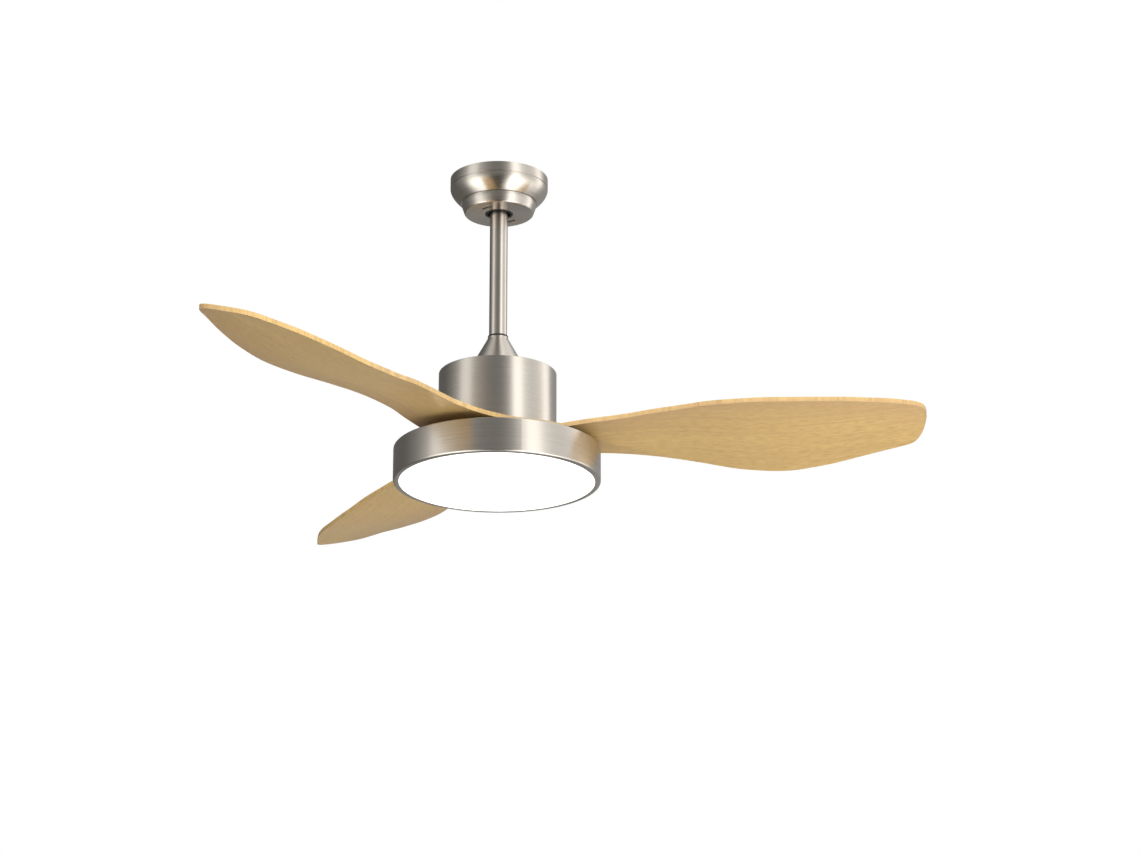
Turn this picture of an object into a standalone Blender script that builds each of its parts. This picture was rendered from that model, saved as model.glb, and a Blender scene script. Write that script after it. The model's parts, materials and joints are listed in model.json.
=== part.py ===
"""Ceiling fan with light: three blades on a downrod, 52 inch sweep.

The frame's origin is the centre of the ceiling bracket's top face, where it meets the ceiling.
+Z points up, so the fan hangs below z = 0. All sizes are in metres.
"""

import math
from collections import namedtuple

import bmesh
import bpy
from mathutils import Matrix, Vector

# Heights, as z below the ceiling.
BALL_Z = -0.0340
CANOPY_GROOVE_Z = -0.0155
CANOPY_BELL_Z = -0.0171
CANOPY_STEP_Z = -0.0408
CANOPY_BOTTOM_Z = -0.0585
CONE_TOP_Z = -0.2660
COVER_TOP_Z = -0.3264
COVER_BOTTOM_Z = -0.4270
BLADE_ROOT_Z = -0.4375
PAN_TOP_Z = -0.4490
PAN_BOTTOM_Z = -0.5020

# Outside radii of what is seen.
CANOPY_R = 0.0769
CANOPY_STEP_R = 0.0598
CANOPY_COVER_R = 0.0586
ROD_R = 0.0140
CONE_TOP_R = 0.0160
CONE_BASE_R = 0.0472
COVER_R = 0.0912
PAN_R = 0.1593
DIFFUSER_R = 0.1497

# The ball joint at the top.
BALL_R = 0.0260
CUP_R = 0.0268
CUP_OUTER_R = 0.0293
CUP_MOUTH_R = 0.0190
PIN_R = 0.0030

# The motor, turned round a fixed hollow shaft.
SHAFT_R = 0.0085
SHAFT_BORE_R = 0.0050
COLLAR_R = 0.0120
BEARING_R = 0.0197
ROTOR_R = 0.0812
STATOR_R = 0.0733
SLOTS = 12

# The blades. Local x runs out along the blade, y towards the trailing edge.
BLADES = 3
FIRST_BLADE_DEG = -6.2
BLADE_THICKNESS = 0.0070
HUB_R = 0.0340
ROOT_GAP_DEG = 1.0

# Screws. Lengths are in metres, and a circle is the radius that a ring of screws lies on.
Screw = namedtuple("Screw", "head_r head_h shank_r shank_l hole_r thread_r")
CANOPY_SCREW = Screw(0.0038, 0.0022, 0.0016, 0.0060, 0.0022, 0.0019)
COVER_SCREW = Screw(0.0040, 0.0020, 0.0017, 0.0055, 0.0022, 0.0021)
ROTOR_SCREW = Screw(0.0023, 0.0020, 0.0015, 0.0130, 0.0020, 0.0020)
BLADE_SCREW = Screw(0.0045, 0.0024, 0.0019, 0.0115, 0.0024, 0.0023)
PAN_SCREW = Screw(0.0040, 0.0022, 0.0017, 0.0042, 0.0022, 0.0020)
CANOPY_SCREW_X = 0.0430
COVER_CIRCLE_R = 0.0330
BLADE_CIRCLE_R = 0.0720
BLADE_SCREW_DEG = (-20.0, 20.0, 60.0)
PAN_CIRCLE_R = 0.0360
SET_SCREW_R = 0.0020
SET_SCREW_HOLE_R = 0.0024

# Sheet thickness of the turned covers.
SHEET = 0.0010
COVER_WALL = 0.0014
# Gap left between pieces that touch, and how far a cutter reaches past the faces that it cuts.
GAP = 0.0004
PAST = 0.0030
# Number of sides of round pieces.
SIDES_LARGE = 36
SIDES_MEDIUM = 24
SIDES_SMALL = 20
SIDES_PIN = 12
SIDES_SCREW = 8


def clear_scene():
    for obj in list(bpy.data.objects):
        bpy.data.objects.remove(obj, do_unlink=True)


def new_collection(name, hidden=False):
    collection = bpy.data.collections.new(name)
    collection.hide_render = hidden
    bpy.context.scene.collection.children.link(collection)
    return collection


clear_scene()
PARTS = new_collection("ceiling_fan_with_light")
CUTTERS = new_collection("cutters", hidden=True)


def make_material(name, color, metallic, roughness):
    material = bpy.data.materials.new(name)
    material.use_nodes = True
    shader = material.node_tree.nodes["Principled BSDF"]
    shader.inputs["Base Color"].default_value = (*color, 1.0)
    shader.inputs["Metallic"].default_value = metallic
    shader.inputs["Roughness"].default_value = roughness
    return material


NICKEL = make_material("brushed_nickel", (0.52, 0.49, 0.45), 1.0, 0.32)
STEEL = make_material("zinc_plated_steel", (0.60, 0.61, 0.62), 1.0, 0.38)
BLACK_STEEL = make_material("black_steel", (0.03, 0.03, 0.03), 0.3, 0.5)
ALUMINIUM = make_material("cast_aluminium", (0.66, 0.67, 0.68), 1.0, 0.45)
IRON = make_material("core_steel", (0.20, 0.20, 0.22), 0.8, 0.5)
COPPER = make_material("copper_wire", (0.72, 0.35, 0.18), 1.0, 0.35)
MAGNET = make_material("ferrite_magnet", (0.07, 0.07, 0.08), 0.2, 0.6)
WOOD = make_material("pale_wood", (0.56, 0.38, 0.20), 0.0, 0.45)
RUBBER = make_material("black_rubber", (0.02, 0.02, 0.02), 0.0, 0.8)
BLACK_PLASTIC = make_material("black_plastic", (0.03, 0.03, 0.03), 0.0, 0.5)
WHITE_PLASTIC = make_material("white_plastic", (0.80, 0.80, 0.78), 0.0, 0.4)
OPAL = make_material("opal_plastic", (0.95, 0.95, 0.93), 0.0, 0.3)


def add_object(name, mesh, material, collection=PARTS, z=0.0):
    obj = bpy.data.objects.new(name, mesh)
    obj.location = (0.0, 0.0, z)
    collection.objects.link(obj)
    if collection is CUTTERS:
        obj.hide_render = True
        obj.display_type = "WIRE"
    if material and not mesh.materials:
        mesh.materials.append(material)
    return obj


def add_bmesh(name, shape, material, collection=PARTS, z=0.0):
    mesh = bpy.data.meshes.new(name)
    shape.to_mesh(mesh)
    shape.free()
    return add_object(name, mesh, material, collection, z)


def spin(obj, sides):
    """Turns a profile in the XZ plane once round Z."""
    screw = obj.modifiers.new("turn", "SCREW")
    screw.steps = sides
    screw.render_steps = sides
    screw.use_merge_vertices = True
    screw.merge_threshold = 0.00001
    screw.use_smooth_shade = True
    return obj


def profile_mesh(name, profile, closed, base_z=0.0):
    points = [(radius, 0.0, z - base_z) for radius, z in profile]
    edges = [(i, i + 1) for i in range(len(points) - 1)]
    if closed:
        edges.append((len(points) - 1, 0))
    mesh = bpy.data.meshes.new(name)
    mesh.from_pydata(points, edges, [])
    return mesh


def turned_ring(name, profile, material, sides, collection=PARTS, z=0.0):
    """A turned piece with a hole through it: the profile is a loop, down its outer side first."""
    return spin(add_object(name, profile_mesh(name, profile, True, z), material, collection, z), sides)


def turned_solid(name, profile, material, sides, collection=PARTS, z=0.0):
    """A turned piece without a hole: the profile starts and ends on the axis."""
    return spin(add_object(name, profile_mesh(name, profile, False, z), material, collection, z), sides)


def ring_profile(inner, outer, top, bottom):
    return [(outer, top), (outer, bottom), (inner, bottom), (inner, top)]


def add_box(name, low, high, material, collection=PARTS, bevel=0.0):
    size = Vector(high) - Vector(low)
    middle = (Vector(high) + Vector(low)) / 2
    shape = bmesh.new()
    bmesh.ops.create_cube(shape, size=1.0, matrix=Matrix.Diagonal((*size, 1.0)))
    obj = add_bmesh(name, shape, material, collection)
    obj.location = middle
    if bevel:
        rounding = obj.modifiers.new("round", "BEVEL")
        rounding.width = bevel
        rounding.segments = 2
    return obj


def rods(name, places, radius, direction, length, material=None, collection=CUTTERS, sides=SIDES_SCREW):
    """Straight round bars as one object: each starts at its place and runs along the direction."""
    turn = Vector(direction).to_track_quat("Z", "Y").to_matrix().to_4x4()
    shape = bmesh.new()
    for place in places:
        middle = Vector(place) + Vector(direction) * (length / 2)
        bmesh.ops.create_cone(
            shape,
            cap_ends=True,
            segments=sides,
            radius1=radius,
            radius2=radius,
            depth=length,
            matrix=Matrix.Translation(middle) @ turn,
        )
    return add_bmesh(name, shape, material, collection)


def combine(obj, other, operation):
    boolean = obj.modifiers.new(operation.lower(), "BOOLEAN")
    boolean.operation = operation
    boolean.object = other


def cut(obj, cutter):
    combine(obj, cutter, "DIFFERENCE")


def join(obj, other):
    combine(obj, other, "UNION")


def polar(radius, degrees, z=0.0):
    angle = math.radians(degrees)
    return Vector((radius * math.cos(angle), radius * math.sin(angle), z))


def round_places(radius, count, first_deg, z):
    return [polar(radius, first_deg + 360.0 * i / count, z) for i in range(count)]


def arc(radius, centre_z, first_z, last_z, count):
    """Points of a sphere's outline from one height down to another."""
    first = math.asin((first_z - centre_z) / radius)
    last = math.asin((last_z - centre_z) / radius)
    angles = [first + (last - first) * i / count for i in range(count + 1)]
    return [(radius * math.cos(a), centre_z + radius * math.sin(a)) for a in angles]


def add_screw(name, place, up, size):
    """A screw with its head's underside at the place. Its shank points up, or down if up is False."""
    kind = name.rstrip("_0123456789")
    profile = [
        (0.0, size.shank_l),
        (size.shank_r, size.shank_l),
        (size.shank_r, 0.0),
        (size.head_r, 0.0),
        (size.head_r * 0.8, -size.head_h),
        (0.0, -size.head_h),
    ]
    mesh = bpy.data.meshes.get(kind) or profile_mesh(kind, profile, False)
    screw = spin(add_object(name, mesh, STEEL), SIDES_SCREW)
    screw.location = place
    if not up:
        screw.rotation_euler.x = math.pi
    return screw


# ---------------------------------------------------------------- ceiling side

PLATE = 0.0020
LEG_X = 0.0540
WEB_Z = -0.0375
TOP_HALF_WIDTH = 0.0210
LEG_HALF_WIDTH = 0.0150
TAB_HALF_WIDTH = 0.0160
TAB_END_Y = 0.0520
CEILING_SLOT_X = 0.0350
CEILING_SLOT_HALF = (0.0070, 0.0030)
ROD_SLOT_HALF_WIDTH = 0.0155
WIRE_HOLE_R = 0.0050
WIRE_HOLE_Y = -0.0135


def make_ceiling_bracket():
    """A bent steel strip: top plate, two legs and a web with the cup, open towards +Y for the rod."""
    top = add_box("ceiling_bracket", (-LEG_X, -TOP_HALF_WIDTH, -PLATE), (LEG_X, TOP_HALF_WIDTH, 0.0), STEEL)
    tab_low = (-TAB_HALF_WIDTH, TOP_HALF_WIDTH - PAST, -PLATE)
    join(top, add_box("bracket_tab", tab_low, (TAB_HALF_WIDTH, TAB_END_Y, 0.0), None, CUTTERS))
    for side in (-1, 1):
        ends = sorted((side * LEG_X, side * (LEG_X - PLATE)))
        low = (ends[0], -LEG_HALF_WIDTH, WEB_Z - PLATE)
        high = (ends[1], LEG_HALF_WIDTH, -PLATE / 2)
        join(top, add_box("bracket_leg", low, high, None, CUTTERS))
    web_low = (-LEG_X, -LEG_HALF_WIDTH, WEB_Z - PLATE)
    join(top, add_box("bracket_web", web_low, (LEG_X, LEG_HALF_WIDTH, WEB_Z), None, CUTTERS))
    mouth_z = BALL_Z - math.sqrt(CUP_R**2 - CUP_MOUTH_R**2)
    outside = [(0.0, WEB_Z)] + arc(CUP_OUTER_R, BALL_Z, WEB_Z, mouth_z, 5) + [(0.0, mouth_z)]
    join(top, turned_solid("cup_outside", outside, None, SIDES_SMALL, CUTTERS))
    inside = [(0.0, WEB_Z + 0.0060), (CUP_R, WEB_Z + 0.0060)] + arc(CUP_R, BALL_Z, BALL_Z, mouth_z, 6)
    inside += [(CUP_MOUTH_R, mouth_z - 0.0040), (0.0, mouth_z - 0.0040)]
    cut(top, turned_solid("cup_inside", inside, None, SIDES_SMALL, CUTTERS))
    slot_low = (-ROD_SLOT_HALF_WIDTH, 0.0, mouth_z - PAST)
    slot_high = (ROD_SLOT_HALF_WIDTH, 0.0400, WEB_Z + 0.0010)
    cut(top, add_box("rod_slot", slot_low, slot_high, None, CUTTERS))
    half_x, half_y = CEILING_SLOT_HALF
    for x in (-CEILING_SLOT_X, CEILING_SLOT_X):
        low = (x - half_x, -half_y, -PLATE - PAST)
        cut(top, add_box("ceiling_screw_slot", low, (x + half_x, half_y, PAST), None, CUTTERS))
    depth = PLATE + 2 * PAST
    wire_hole = [(0.0, WIRE_HOLE_Y, -PLATE - PAST)]
    cut(top, rods("wire_hole", wire_hole, WIRE_HOLE_R, (0, 0, 1), depth, sides=SIDES_SMALL // 2))
    screw_holes = [(x, 0.0, WEB_Z - PLATE - PAST) for x in (-CANOPY_SCREW_X, CANOPY_SCREW_X)]
    cut(top, rods("canopy_screw_holes", screw_holes, CANOPY_SCREW.thread_r, (0, 0, 1), depth))


BELL_CURVE = 1.7
BELL_STEPS = 5
GROOVE_DEPTH = 0.0007
CANOPY_HOLE_R = 0.0330


def bell(offset, count):
    """The canopy's curved lower half, from the groove down to the step."""
    points = []
    for i in range(count + 1):
        t = i / count
        radius = CANOPY_R - (CANOPY_R - CANOPY_STEP_R) * t**BELL_CURVE
        z = CANOPY_BELL_Z + (CANOPY_STEP_Z - CANOPY_BELL_Z) * t
        points.append((radius - offset, z + offset * t))
    return points


def make_canopy():
    groove = (CANOPY_R - GROOVE_DEPTH, (CANOPY_GROOVE_Z + CANOPY_BELL_Z) / 2)
    inside_r = CANOPY_R - SHEET
    outer = [(CANOPY_R, 0.0), (CANOPY_R, CANOPY_GROOVE_Z), groove] + bell(0.0, BELL_STEPS)
    flange = [(CANOPY_HOLE_R, CANOPY_STEP_Z), (CANOPY_HOLE_R, CANOPY_STEP_Z + SHEET)]
    inner = bell(SHEET, BELL_STEPS - 2)[::-1] + [(groove[0] - SHEET, groove[1]), (inside_r, 0.0)]
    canopy = turned_ring("canopy", outer + flange + inner, NICKEL, SIDES_LARGE)
    holes = [(x, 0.0, CANOPY_STEP_Z - PAST) for x in (-CANOPY_SCREW_X, CANOPY_SCREW_X)]
    cut(canopy, rods("canopy_holes", holes, CANOPY_SCREW.hole_r, (0, 0, 1), SHEET + 2 * PAST))
    for number, x in enumerate((-CANOPY_SCREW_X, CANOPY_SCREW_X), 1):
        add_screw(f"canopy_screw_{number}", (x, 0.0, CANOPY_STEP_Z - GAP), True, CANOPY_SCREW)


COVER_HOLE_R = 0.0219
SEAL_HOLE_R = 0.0178
SEAL_FLANGE_R = 0.0240
SEAL_FLANGE_H = 0.0012


def make_canopy_cover():
    """A shallow dish that hides the canopy's screws, with a rubber ring in its hole."""
    top = CANOPY_STEP_Z - GAP
    floor = CANOPY_BOTTOM_Z + SHEET
    curve = [(0.0002, -0.0450), (0.0012, -0.0510), (0.0030, -0.0565), (0.0046, CANOPY_BOTTOM_Z)]
    outer = [(CANOPY_COVER_R, top)] + [(CANOPY_COVER_R - inward, z) for inward, z in curve]
    hole = [(COVER_HOLE_R, CANOPY_BOTTOM_Z), (COVER_HOLE_R, floor)]
    shoulder = (CANOPY_COVER_R - curve[1][0] - SHEET * 1.2, curve[1][1])
    inner = [(outer[-1][0] - SHEET * 0.6, floor), shoulder, (CANOPY_COVER_R - SHEET, top)]
    turned_ring("canopy_cover", outer + hole + inner, NICKEL, SIDES_LARGE)
    low = CANOPY_BOTTOM_Z - 0.0003
    lip = floor + GAP
    neck_r = COVER_HOLE_R - GAP
    flange = [(SEAL_FLANGE_R, lip + SEAL_FLANGE_H), (SEAL_FLANGE_R, lip), (neck_r, lip), (neck_r, low)]
    inside = [(SEAL_HOLE_R, low), (SEAL_HOLE_R, lip + SEAL_FLANGE_H)]
    turned_ring("canopy_seal", flange + inside, RUBBER, SIDES_SMALL)


RECEIVER_SIZE = (0.0720, 0.0340, 0.0176)
TERMINAL_SIZE = (0.0280, 0.0120, 0.0120)
TERMINAL_Y = 0.0400
EDGE_BEVEL = 0.0015


def make_ceiling_electrics():
    """Two boxes just under the bracket's top plate."""
    top = -PLATE - GAP
    length, width, height = RECEIVER_SIZE
    low = (-length / 2, -width / 2, top - height)
    add_box("receiver_box", low, (length / 2, width / 2, top), BLACK_PLASTIC, bevel=EDGE_BEVEL)
    length, width, height = TERMINAL_SIZE
    low = (-length / 2, TERMINAL_Y - width / 2, top - height)
    add_box("terminal_block", low, (length / 2, TERMINAL_Y + width / 2, top), WHITE_PLASTIC)


# ------------------------------------------------- hanging side, up to the yoke

ROD_BORE_R = 0.0122
ROD_TOP_Z = BALL_Z + 0.0068
SOCKET_R = 0.0143
HANGER_PIN_L = 0.0490
BALL_SCREW_Z = BALL_Z + 0.0030
BALL_SCREW_L = 0.0095
YOKE_SCREW_L = 0.0080
HOLE_L = 0.0150
YOKE_PIN_Z = -0.3010
YOKE_TOP_Z = -0.2890
ROD_BOTTOM_Z = -0.3136


def make_hanger_ball():
    top = BALL_Z + 0.0075
    bottom = BALL_Z - math.sqrt(BALL_R**2 - SOCKET_R**2)
    profile = arc(BALL_R, BALL_Z, top, bottom, 9) + [(SOCKET_R, top)]
    ball = turned_ring("hanger_ball", profile, BLACK_PLASTIC, SIDES_SMALL, z=BALL_Z)
    hole_start = -BALL_R - PAST
    cut(ball, rods("ball_pin_hole", [(hole_start, 0.0, BALL_Z)], PIN_R + GAP, (1, 0, 0), -2 * hole_start))
    screw_start = (0.0, SOCKET_R - 0.0008, BALL_SCREW_Z)
    cut(ball, rods("ball_screw_hole", [screw_start], SET_SCREW_HOLE_R, (0, 1, 0), HOLE_L))
    pin_start = (-HANGER_PIN_L / 2, 0.0, BALL_Z)
    rods("hanger_pin", [pin_start], PIN_R, (1, 0, 0), HANGER_PIN_L, STEEL, PARTS, SIDES_PIN)
    place = (0.0, ROD_R + GAP, BALL_SCREW_Z)
    rods("ball_set_screw", [place], SET_SCREW_R, (0, 1, 0), BALL_SCREW_L, STEEL, PARTS)


def make_downrod():
    profile = ring_profile(ROD_BORE_R, ROD_R, ROD_TOP_Z, ROD_BOTTOM_Z)
    rod = turned_ring("downrod", profile, NICKEL, SIDES_SMALL, z=BALL_Z)
    start = -ROD_R - PAST
    starts = [(start, 0.0, BALL_Z), (start, 0.0, YOKE_PIN_Z)]
    cut(rod, rods("rod_pin_holes", starts, PIN_R + GAP, (1, 0, 0), -2 * start))


LEAD_R = 0.0022


def make_motor_lead():
    """The cable passes beside both pins in the rod, then through the shaft to the light's driver."""
    side = 0.0068
    route = [
        (0.0, side, BALL_Z + 0.0078),
        (0.0, side, -0.1500),
        (0.0, side, -0.3040),
        (0.0, side * 0.5, -0.3105),
        (0.0, 0.0, -0.3180),
        (0.0, 0.0, -0.4560),
        (0.0008, 0.0, -0.4590),
        (0.0030, 0.0, -0.4612),
        (0.0070, 0.0, -0.4624),
        (0.0294, 0.0, -0.4624),
    ]
    curve = bpy.data.curves.new("motor_lead", "CURVE")
    curve.dimensions = "3D"
    curve.bevel_depth = LEAD_R
    curve.bevel_resolution = 2
    curve.use_fill_caps = True
    spline = curve.splines.new("POLY")
    spline.points.add(len(route) - 1)
    for point, place in zip(spline.points, route):
        point.co = (*place, 1.0)
    add_object("motor_lead", curve, BLACK_PLASTIC)


YOKE_R = 0.0195
YOKE_FLANGE_R = 0.0400
YOKE_FLANGE_H = 0.0040
YOKE_NECK_R = 0.0160
YOKE_NECK_H = 0.0060
YOKE_BORE_R = 0.0065
YOKE_SCREW_Z = YOKE_TOP_Z - 0.0050
SHAFT_SEAT_Z = ROD_BOTTOM_Z - 0.0038
LID = 0.0012


def make_yoke():
    flange_z = COVER_TOP_Z - LID - GAP
    flange_low = flange_z - YOKE_FLANGE_H
    neck_low = flange_low - YOKE_NECK_H
    profile = [
        (YOKE_R, YOKE_TOP_Z),
        (YOKE_R, flange_z),
        (YOKE_FLANGE_R, flange_z),
        (YOKE_FLANGE_R, flange_low),
        (YOKE_NECK_R, flange_low),
        (YOKE_NECK_R, neck_low),
        (SHAFT_R + GAP, neck_low),
        (SHAFT_R + GAP, SHAFT_SEAT_Z),
        (YOKE_BORE_R, SHAFT_SEAT_Z),
        (YOKE_BORE_R, ROD_BOTTOM_Z - GAP),
        (SOCKET_R, ROD_BOTTOM_Z - GAP),
        (SOCKET_R, YOKE_TOP_Z),
    ]
    yoke = turned_ring("coupling_yoke", profile, BLACK_STEEL, SIDES_SMALL)
    hole_start = -YOKE_R - PAST
    cut(yoke, rods("yoke_pin_hole", [(hole_start, 0.0, YOKE_PIN_Z)], PIN_R + GAP, (1, 0, 0), -2 * hole_start))
    screw_start = (0.0, ROD_R - 0.0040, YOKE_SCREW_Z)
    cut(yoke, rods("yoke_screw_hole", [screw_start], SET_SCREW_HOLE_R, (0, 1, 0), HOLE_L))
    places = round_places(COVER_CIRCLE_R, 3, 90.0, flange_low - PAST)
    cut(yoke, rods("yoke_cover_holes", places, COVER_SCREW.thread_r, (0, 0, 1), YOKE_FLANGE_H + 2 * PAST))
    make_yoke_pin()
    place = (0.0, ROD_R + GAP, YOKE_SCREW_Z)
    rods("yoke_set_screw", [place], SET_SCREW_R, (0, 1, 0), YOKE_SCREW_L, STEEL, PARTS)


PIN_HEAD_R = 0.0050
PIN_HEAD_H = 0.0024
CLIP_R = 0.0006


def make_yoke_pin():
    """A clevis pin along X, with a hole near its +X end for the clip."""
    clip_x = 0.0222
    start_x = -0.0225
    pin = rods("yoke_pin", [(start_x, 0.0, YOKE_PIN_Z)], PIN_R, (1, 0, 0), 0.0465, STEEL, PARTS, SIDES_PIN)
    head_place = (start_x - PIN_HEAD_H + GAP, 0.0, YOKE_PIN_Z)
    join(pin, rods("yoke_pin_head", [head_place], PIN_HEAD_R, (1, 0, 0), PIN_HEAD_H, sides=SIDES_PIN))
    hole_start = (clip_x, 0.0, YOKE_PIN_Z - PIN_R - PAST)
    cut(pin, rods("clip_hole", [hole_start], CLIP_R + 0.0005, (0, 0, 1), 2 * (PIN_R + PAST)))
    curve = bpy.data.curves.new("yoke_pin_clip", "CURVE")
    curve.dimensions = "3D"
    curve.bevel_depth = CLIP_R
    curve.bevel_resolution = 1
    curve.use_fill_caps = True
    bend = 0.0016
    turns = [math.pi - math.pi * i / 6 for i in range(7)]
    legs = [(0.0, -0.0075)] + [(bend + bend * math.cos(a), 0.0050 + bend * math.sin(a)) for a in turns]
    legs.append((2 * bend, -0.0060))
    spline = curve.splines.new("POLY")
    spline.points.add(len(legs) - 1)
    for point, (x, z) in zip(spline.points, legs):
        point.co = (clip_x + x, 0.0, YOKE_PIN_Z + z, 1.0)
    add_object("yoke_pin_clip", curve, STEEL)


CONE_WALL = 0.0013
CONE_BORE_R = 0.0146
CONE_SEAL_R = 0.0157
CONE_SEAL_H = 0.0024


def make_coupling_cover():
    base = COVER_TOP_Z + GAP
    edge = 0.0010
    outer = [(CONE_TOP_R - 0.6 * edge, CONE_TOP_Z), (CONE_TOP_R, CONE_TOP_Z - edge), (CONE_BASE_R, base + edge)]
    low = [(CONE_BASE_R, base), (CONE_BASE_R - CONE_WALL, base)]
    inner = [(CONE_BORE_R, CONE_TOP_Z - 1.4 * edge), (CONE_BORE_R, CONE_TOP_Z)]
    turned_ring("coupling_cover", outer + low + inner, NICKEL, SIDES_LARGE)
    seal_low = CONE_TOP_Z + 0.0003
    seal = ring_profile(ROD_R + GAP, CONE_SEAL_R, seal_low + CONE_SEAL_H, seal_low)
    turned_ring("coupling_cover_seal", seal, RUBBER, SIDES_SMALL)


# ---------------------------------------------------------------- motor

BEARING_TOP_Z = -0.3455
BEARING_LOW_Z = -0.4060
BEARING_H = 0.0120
CORE_Z = (-0.3750, -0.3910)
SPLIT_Z = -0.3880
ROTOR_BOTTOM_Z = BLADE_ROOT_Z + BLADE_THICKNESS + GAP
SHAFT_BOTTOM_Z = -0.4562


def make_motor_cover():
    edge = 0.0010
    inside_r = COVER_R - COVER_WALL
    hole_r = YOKE_R + 0.0010
    profile = [
        (COVER_R - edge, COVER_TOP_Z),
        (COVER_R, COVER_TOP_Z - edge),
        (COVER_R, COVER_BOTTOM_Z + edge / 2),
        (COVER_R - edge / 2, COVER_BOTTOM_Z),
        (inside_r, COVER_BOTTOM_Z),
        (inside_r, COVER_TOP_Z - LID),
        (hole_r, COVER_TOP_Z - LID),
        (hole_r, COVER_TOP_Z),
    ]
    cover = turned_ring("motor_cover", profile, NICKEL, SIDES_LARGE)
    places = round_places(COVER_CIRCLE_R, 3, 90.0, COVER_TOP_Z - LID - PAST)
    cut(cover, rods("cover_holes", places, COVER_SCREW.hole_r, (0, 0, 1), LID + 2 * PAST))
    for number, place in enumerate(round_places(COVER_CIRCLE_R, 3, 90.0, COVER_TOP_Z + GAP), 1):
        add_screw(f"cover_screw_{number}", place, False, COVER_SCREW)


def make_shaft():
    top = SHAFT_SEAT_Z - GAP
    collar_top = BEARING_TOP_Z - BEARING_H - GAP
    collar_low = BEARING_LOW_Z + GAP
    profile = [
        (SHAFT_R, top),
        (SHAFT_R, collar_top),
        (COLLAR_R, collar_top),
        (COLLAR_R, collar_low),
        (SHAFT_R, collar_low),
        (SHAFT_R, SHAFT_BOTTOM_Z),
        (SHAFT_BORE_R, SHAFT_BOTTOM_Z),
        (SHAFT_BORE_R, top),
    ]
    turned_ring("motor_shaft", profile, STEEL, SIDES_SMALL)


def make_bearings():
    for name, top in (("upper_bearing", BEARING_TOP_Z), ("lower_bearing", BEARING_LOW_Z)):
        inner = SHAFT_R + GAP
        groove = 0.0008
        bottom = top - BEARING_H
        profile = [
            (BEARING_R, top),
            (BEARING_R, bottom),
            (0.0160, bottom),
            (0.0155, bottom + groove),
            (0.0120, bottom + groove),
            (0.0115, bottom),
            (inner, bottom),
            (inner, top),
        ]
        turned_ring(name, profile, STEEL, SIDES_SMALL)


def radial_boxes(name, inner, outer, half_width, low, high, material=None):
    """One box in each slot's place, as one object."""
    shape = bmesh.new()
    size = Matrix.Diagonal((outer - inner, 2 * half_width, high - low, 1.0))
    place = Matrix.Translation(((inner + outer) / 2, 0.0, (low + high) / 2))
    for i in range(SLOTS):
        turn = Matrix.Rotation(2 * math.pi * (i + 0.5) / SLOTS, 4, "Z")
        bmesh.ops.create_cube(shape, size=1.0, matrix=turn @ place @ size)
    return add_bmesh(name, shape, material, CUTTERS)


COIL_IN_R = 0.0405
COIL_OUT_R = 0.0660
COIL_END_H = 0.0080


def make_stator():
    """A core with one slot for each side of a coil, and the winding through all the slots."""
    top, low = CORE_Z
    below, above = low - PAST, top + PAST
    core = turned_ring("stator_core", ring_profile(COLLAR_R + GAP, STATOR_R, top, low), IRON, SIDES_LARGE)
    cut(core, radial_boxes("slots", COIL_IN_R - 0.0005, COIL_OUT_R + 0.0008, 0.0048, below, above))
    cut(core, radial_boxes("slot_mouths", COIL_OUT_R, STATOR_R + PAST, 0.0015, below, above))
    end = ring_profile(COIL_IN_R, COIL_OUT_R, top + COIL_END_H, top + GAP)
    winding = turned_ring("stator_winding", end, COPPER, SIDES_SMALL)
    join(winding, radial_boxes("coil_sides", COIL_IN_R + 0.0007, COIL_OUT_R - 0.0006, 0.0042, below, above))
    other_end = ring_profile(COIL_IN_R, COIL_OUT_R, low - GAP, low - COIL_END_H)
    join(winding, turned_ring("lower_coil_end", other_end, None, SIDES_SMALL, CUTTERS))


LUG_R = 0.0838
LUG_DEG = 30.0
LUG_SIZE_R = 0.0045
LUG_H = 0.0070


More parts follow.
